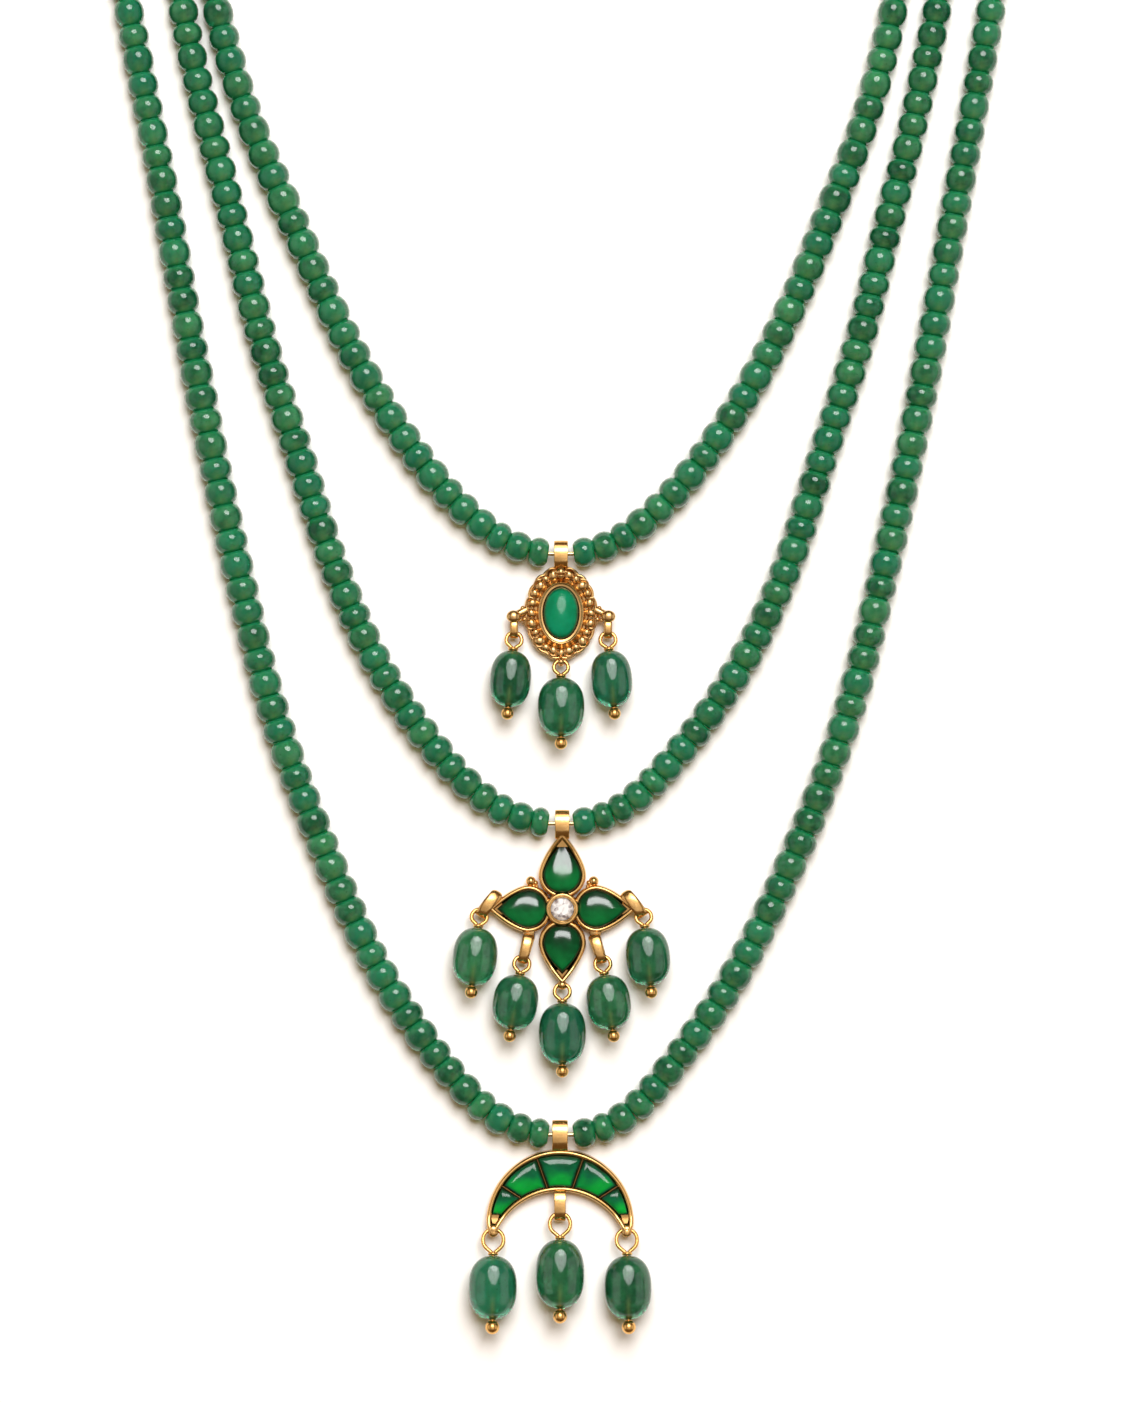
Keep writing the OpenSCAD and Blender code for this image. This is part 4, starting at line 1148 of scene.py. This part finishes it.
# Every other granule has a scroll, apart from the two beside the bail, where a larger pair stands
scrolls = [scroll(grain_places[k], grain_size[k] + 0.18, 1 if k % 4 < 2 else -1, -2.0 - 0.5 * swing[k],
                  1.1 + 0.4 * swing[k]) for k in range(2, GRAINS - 1, 2)]
scrolls += [scroll((side * 1.75, 7.65), 1.25, side, 2.7, -1.5, 2.6) for side in (-1, 1)]
scroll_wire = wire("scrolls", scrolls, 0.26, antique_gold, 8)
rim_line = np.c_[plate_edge, np.full(len(plate_edge), 2.1)]
rim_wire = wire("rim", [rim_line], 0.34, antique_gold, 10, closed=True)
print(len(scrolls), "scrolls")

# %% The oval pendant put together
grown_parts = [shell_of(mesh) for mesh in (grains, scroll_wire, rim_wire)]
setting("oval_antique_setting", [put(joined(oval_parts + grown_parts), OVAL_AT)], antique_gold,
        "oval_setting")
setting("oval_bail_and_hooks", [bail(OVAL_AT[0], -25, 2.7, 3.0, 2.75), *HOOKS[:3]], bright_gold)
cabochon("oval_cabochon", put(dome(ellipse(3.55, 5.2, 56), 0.9, 2.1), OVAL_AT), oval_stone, "cabochon",
         (0.7, 0.85, 0.7, 0.6, 0.5))

# %% [markdown]
# ## The flower pendant
# Four pear-shaped cups turned about a collet that holds the one clear stone. Shoulder grains fill the
# upper corners between the petals, and flat gussets the lower ones. A tree isn't needed to turn a petal
# four times, but the same outline serves the cup and its stone. A small tab fills the tip inside, where
# no stone could be ground so sharp.

# %% Petals
PETAL_MIDDLE = 6.9


def petal(r, tip, steps=22):
    """A pear outline that points along +Y, counter-clockwise from its right side."""
    u = np.linspace(0, 1, steps)
    right = np.c_[r * (1 - u ** 1.6), PETAL_MIDDLE + (tip - PETAL_MIDDLE) * u]
    left = right[-2::-1] * (-1, 1)
    a = np.radians(np.linspace(180, 360, 25)[1:-1])
    base = np.c_[r * np.cos(a), PETAL_MIDDLE + r * np.sin(a)]
    return np.concatenate([right, left, base])


def tip_lift(ring):
    """How much a petal's edge rises towards its tip, where it laps over a strap."""
    return 0.9 * np.clip((ring[:, 1] - 11.5) / 3, 0, 1)


def petal_cup(tip, lift=None):
    """One petal's cup, and the small gold tab that fills its tip inside."""
    corners = np.array([(-1.2, tip - 3.05), (1.2, tip - 3.05), (0.0, tip - 1.1)])
    # The tab is painted partly dark, as shade in the tip
    tab = cup(corners, [(0, 1.4, 0.45), (0, 2.62, 0.45), (0.06, 2.68, 0.45)])
    return joined([cup(petal(4.8, tip), wall_section(0.95, 3.0, 1.5), lift), tab])


flower_parts = []
for number, (tip, lift) in enumerate([(15.4, tip_lift), (15.0, None), (15.2, tip_lift), (15.0, None)]):
    flower_parts.append(placed(petal_cup(tip, lift), Matrix.Rotation(math.radians(90 * number), 4, "Z")))
print("a petal's outline has", len(petal(4.8, 15.0)), "points")

# %% The flower pendant put together
# The collet's inner wall is painted dark, as shade under the clear stone
collet = cup(ellipse(3.38, 3.38, 56), [
    (0.1, 0), (0, 0.2), (0, 2.7), (0.06, 3.2), (0.14, 3.5), (0.25, 3.68), (0.4, 3.77), (0.58, 3.76),
    (0.7, 3.64), (0.82, 3.52), (1.0, 3.42), (1.05, 3.3, 0.6), (1.03, 3.1, 1), (1.03, 1.6, 1),
])
# The gussets are painted dark, as shade under the petals
gusset = cup(np.array([(-0.9, -1.0), (0.9, -1.0), (1.3, 0.9), (-1.3, 0.9)]),
             [(0, 0.3, 0.7), (0, 2.4, 0.7), (0.15, 2.7, 0.6), (0.4, 2.8, 0.6)])
flower_parts.append(collet)
for side in (-1, 1):
    flower_parts += [ball(1.0, (side * 6.3, 5.55, 2.1)), ball(0.55, (side * 5.35, 5.2, 2.0)),
                     ball(0.45, (side * 5.75, 4.6, 2.0)), ball(0.4, (side * 5.1, 4.5, 2.2))]
    flower_parts.append(placed(gusset, Matrix.Translation((side * 6.6, -5.2, 0))
                               @ Matrix.Rotation(side * -0.16, 4, "Z")))
flower_bail = bail(FLOWER_AT[0], -79, 2.85, 3.0, 2.85)
setting("flower_gold_setting", [put(joined(flower_parts), FLOWER_AT), flower_bail, *HOOKS[3:8]], bright_gold,
        "flower_setting")

# %% Petal stones
stone_middle = PETAL_MIDDLE - 0.3
stone_outline = petal(3.87, 13.1) - (0, stone_middle)
for number, name in enumerate(("petal_stone_top", "petal_stone_left", "petal_stone_bottom",
                               "petal_stone_right")):
    turn = Matrix.Rotation(math.radians(90 * number), 4, "Z")
    outline = stone_outline @ np.array(turn.to_2x2()).T
    shell = dome(outline, 0.85, 1.4, power=0.8, skew=0.2 if number == 0 else 0.15, keep=1.6)
    shell = put(shell, turn @ Vector((0, stone_middle, 0)))
    cabochon(name, put(shell, FLOWER_AT), petal_glass, "petal_stone")

# %% [markdown]
# ## The clear stone
# A round brilliant: a table, crown mains and pavilion mains between smaller facets. It has to stay
# flat-faced, because its sparkle comes from flat mirrors that show the soft box or don't. What a real
# one shows through its table is a blurred mosaic of its far facets. Cells in two greys paint that into its
# colour as a painted reflection, and each outer facet is painted a grey of its own.

# %% Clear crystal
diamond, tree, shader = new_material("brilliant_cut_crystal")
place = add_node(tree, "ShaderNodeTexCoord").outputs["Object"]
# Real inner facets are finer than this, and would be lost at the picture's size
cells = add_node(tree, "ShaderNodeTexVoronoi",
                 {"Vector": place, "Scale": 1 / (0.75 * MM), "Smoothness": 0.35}, feature="SMOOTH_F1")
random = add_node(tree, "ShaderNodeSeparateColor", {"Color": cells.outputs["Color"]}).outputs["Red"]
inner = add_node(tree, "ShaderNodeMapRange", [random, 0.4, 0.75, 0.0, 0.6])
# Each outer facet gets a grey of its own: a painted reflection
facet = add_node(tree, "ShaderNodeAttribute", attribute_name="facet").outputs["Fac"]
outer = add_node(tree, "ShaderNodeMapRange", [facet, 0.0, 1.0, 0.0, 0.5])
both = add_node(tree, "ShaderNodeMath", [inner, outer], operation="ADD")
tint = add_node(tree, "ShaderNodeMix", [both, "#FFFDFC", "#8A7E80"], data_type="RGBA")
# A high index gives the hard bright mirrors of a cut stone
fill(shader, {"Base Color": tint, "Roughness": 0.02, "IOR": 2.2, "Transmission Weight": 0.3})
print(diamond.name, "has", len(tree.nodes), "nodes")

# %% Round brilliant
def brilliant(r, table, girdle_z, crown, pavilion):
    """The facets of a round brilliant, sixteen to a ring."""
    a = np.linspace(0, 2 * math.pi, 16, endpoint=False)
    star = (table + r) / 2
    top = girdle_z + 0.12
    levels = [([0.04], girdle_z - pavilion), ([r * 0.42, r * 0.36], girdle_z - pavilion * 0.6),
              ([r], girdle_z), ([r], top), ([star, star * 1.04], top + crown * 0.55),
              ([table, table * 0.93], top + crown)]
    rings = []
    for radii, z in levels:
        k = np.resize(radii, 16)
        rings.append(np.c_[k * np.cos(a), k * np.sin(a), np.full(16, z)])
    return skin(rings)


mesh = mesh_of("flower_clear_stone", put(brilliant(2.3, 1.3, 2.9, 0.75, 1.25), FLOWER_AT), diamond, 1)
mesh.shade_flat()
facets = mesh.attributes.new("facet", "FLOAT", "FACE")
facets.data.foreach_set("value", [(0.618 * i) % 1 for i in range(len(mesh.polygons))])
facets.data[len(mesh.polygons) - 1].value = 0.1  # the table
piece("flower_clear_stone", mesh, "brilliant", "flower_brilliant")

# %% [markdown]
# ## The crescent pendant
# A tray between two arcs, five pieces of bright green glass in a row, and thin bars between them. The
# arcs have different middles, so the tray is widest at the top and tapers to two tips, which are rounded
# over the eyes of the outer drops. Each stone is ground like a piece of a barrel, arched across the crescent
# and rounded off at the bars, so one line of light runs along the whole row.

# %% Crescent tray
CRESCENT_R = 14.83
HOLLOW_R = 13.9
HOLLOW_Y = -7.5
BARS = (-57, -19.5, 19.5, 57)  # degrees from the top
TIP = [(14.83, 0.9), (14.74, -0.3), (14.5, -1.2), (14.15, -2.0), (13.75, -2.6)]
TIP_INSIDE = [(11.92, -0.35), (12.25, -0.95), (12.57, -1.55), (12.85, -2.1), (13.05, -2.6)]


def crescent(steps=56):
    """The crescent's outline, counter-clockwise, as many points outside as inside."""
    low = math.asin(1.6 / CRESCENT_R)
    inner_low = math.asin((0.25 - HOLLOW_Y) / HOLLOW_R)
    outer = np.linspace(low, math.pi - low, steps)
    inner = np.linspace(math.pi - inner_low, inner_low, steps)
    right, inside = np.array(TIP[::-1]), np.array(TIP_INSIDE)
    return np.concatenate([right, np.c_[CRESCENT_R * np.cos(outer), CRESCENT_R * np.sin(outer)],
                           right[::-1] * (-1, 1), inside[::-1] * (-1, 1),
                           np.c_[HOLLOW_R * np.cos(inner), HOLLOW_Y + HOLLOW_R * np.sin(inner)], inside])


def tips_lift(ring):
    """How much the tray's edge rises towards its tips."""
    return 0.75 * np.clip((1.8 - ring[:, 1]) / 2.5, 0, 1)


def from_hollow(way, wall):
    """How far a wall round the hollow is from the outer arc's middle, at an angle from the top."""
    return HOLLOW_Y * np.cos(way) + np.sqrt((HOLLOW_R + wall) ** 2 - (HOLLOW_Y * np.sin(way)) ** 2)


print("the crescent's outline has", len(crescent()), "points")

# %% The crescent pendant put together
BAR_WALL = 0.9  # a bar ends so far inside the tray's edges
crescent_parts = [cup(crescent(), wall_section(0.98, 3.0, 1.5), tips_lift, strips=True)]
for angle in BARS:
    way = math.radians(angle)
    near = from_hollow(way, BAR_WALL)
    far = CRESCENT_R - BAR_WALL
    points, faces = pillow(0.13, (far - near) / 2, 1.4, 2.45, 0.1, 24)
    at = Matrix.Rotation(-way, 4, "Z") @ Matrix.Translation((0, (near + far) / 2, 0))
    # The bars are painted dark, as shade between the stones
    crescent_parts.append(placed((np.c_[points, np.full(len(points), 0.72)], faces), at))
for side in (-1, 1):
    corners = np.array([(13.1, -1.5), (14.0, 1.85), (12.1, 1.85)])[::side] * (side, 1)
    # The tabs in the tips are painted dark, as shade between the walls
    crescent_parts.append(cup(corners, [(0, 1.4, 0.8), (0, 2.55, 0.8), (0.06, 2.6, 0.8)]))
    crescent_parts.append(pill(0.95, 0.95, 0.42, (side * 13.35, -1.65, 3.35)))
crescent_parts.append(placed(pillow(1.2, 0.8, 0.4, 3.3, 0.4, 32, 3), Matrix.Translation((0, 5.75, 0))))
crescent_bail = bail(CRESCENT_AT[0], -141.2, 3.0, 3.3, 3.1)
setting("crescent_gold_setting", [put(joined(crescent_parts), CRESCENT_AT), crescent_bail, *HOOKS[8:]],
        bright_gold, "crescent_setting")

# %% Crescent stones
CRESCENT_STONES = {"crescent_stone_end_left": (-83, -57), "crescent_stone_left": (-57, -19.5),
                   "crescent_stone_centre": (-19.5, 19.5), "crescent_stone_right": (19.5, 57),
                   "crescent_stone_end_right": (57, 83)}
STONE_OUT_R = CRESCENT_R - 1.15
STONE_WALL = 1.08
STONE_GAP = 0.24  # from a bar's middle to the stone
END_ROUND = 1.1  # how far from the bar a stone begins to fall


def crescent_stone(low, high, steps=20):
    """The outline of one stone between two bars, about its own middle, and that middle."""
    middle_way = (low + high) / 2
    near = from_hollow(middle_way, STONE_WALL)
    edge = math.asin(STONE_GAP / STONE_OUT_R)
    outer = np.linspace(high - edge, low + edge, steps)
    edge = math.asin(STONE_GAP / near)
    inner = np.linspace(low + edge, high - edge, steps)
    way = np.r_[outer, inner]
    reach = np.r_[np.full(steps, STONE_OUT_R), from_hollow(inner, STONE_WALL)]
    middle = (STONE_OUT_R + near) / 2 * np.array([math.sin(middle_way), math.cos(middle_way)])
    return np.c_[reach * np.sin(way), reach * np.cos(way)] - middle, middle


def barrel(low, high, middle):
    """How high a crescent stone is: arched across the crescent, and rounded off at both bars."""
    def share(ring):
        x, y = (ring + middle).T
        near = from_hollow(np.arctan2(x, y), STONE_WALL)
        across = 2 * (np.hypot(x, y) - near) / (STONE_OUT_R - near) - 1
        to_bar = np.minimum(x * math.cos(low) - y * math.sin(low), y * math.sin(high) - x * math.cos(high))
        end = 1 - np.clip((to_bar - STONE_GAP) / END_ROUND, 0, 1)
        return np.clip(1 - np.abs(across) ** 2.1, 0, 1) ** 0.55 * (1 - end ** 2.4) ** 0.5
    return share


for name, degrees in CRESCENT_STONES.items():
    low, high = np.radians(degrees)
    outline, middle = crescent_stone(low, high)
    shell = dome(outline, 0.85, 0.95, keep=1.5, arch=barrel(low, high, middle))
    cabochon(name, put(shell, CRESCENT_AT + middle), crescent_glass, "crescent_stone",
             (0.9, 1.0, 0.75, 0.4, 0.15))

# %% [markdown]
# ## Sizes
# The dressed necklace has to be the size of its solids. Its box is printed.

# %% Remove the helper shapes and print the size
for helper in (bead_shape, grain_shape):
    bpy.data.objects.remove(helper)
low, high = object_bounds()
print("dressed from", tuple(round(v / MM, 2) for v in low), "to", tuple(round(v / MM, 2) for v in high))
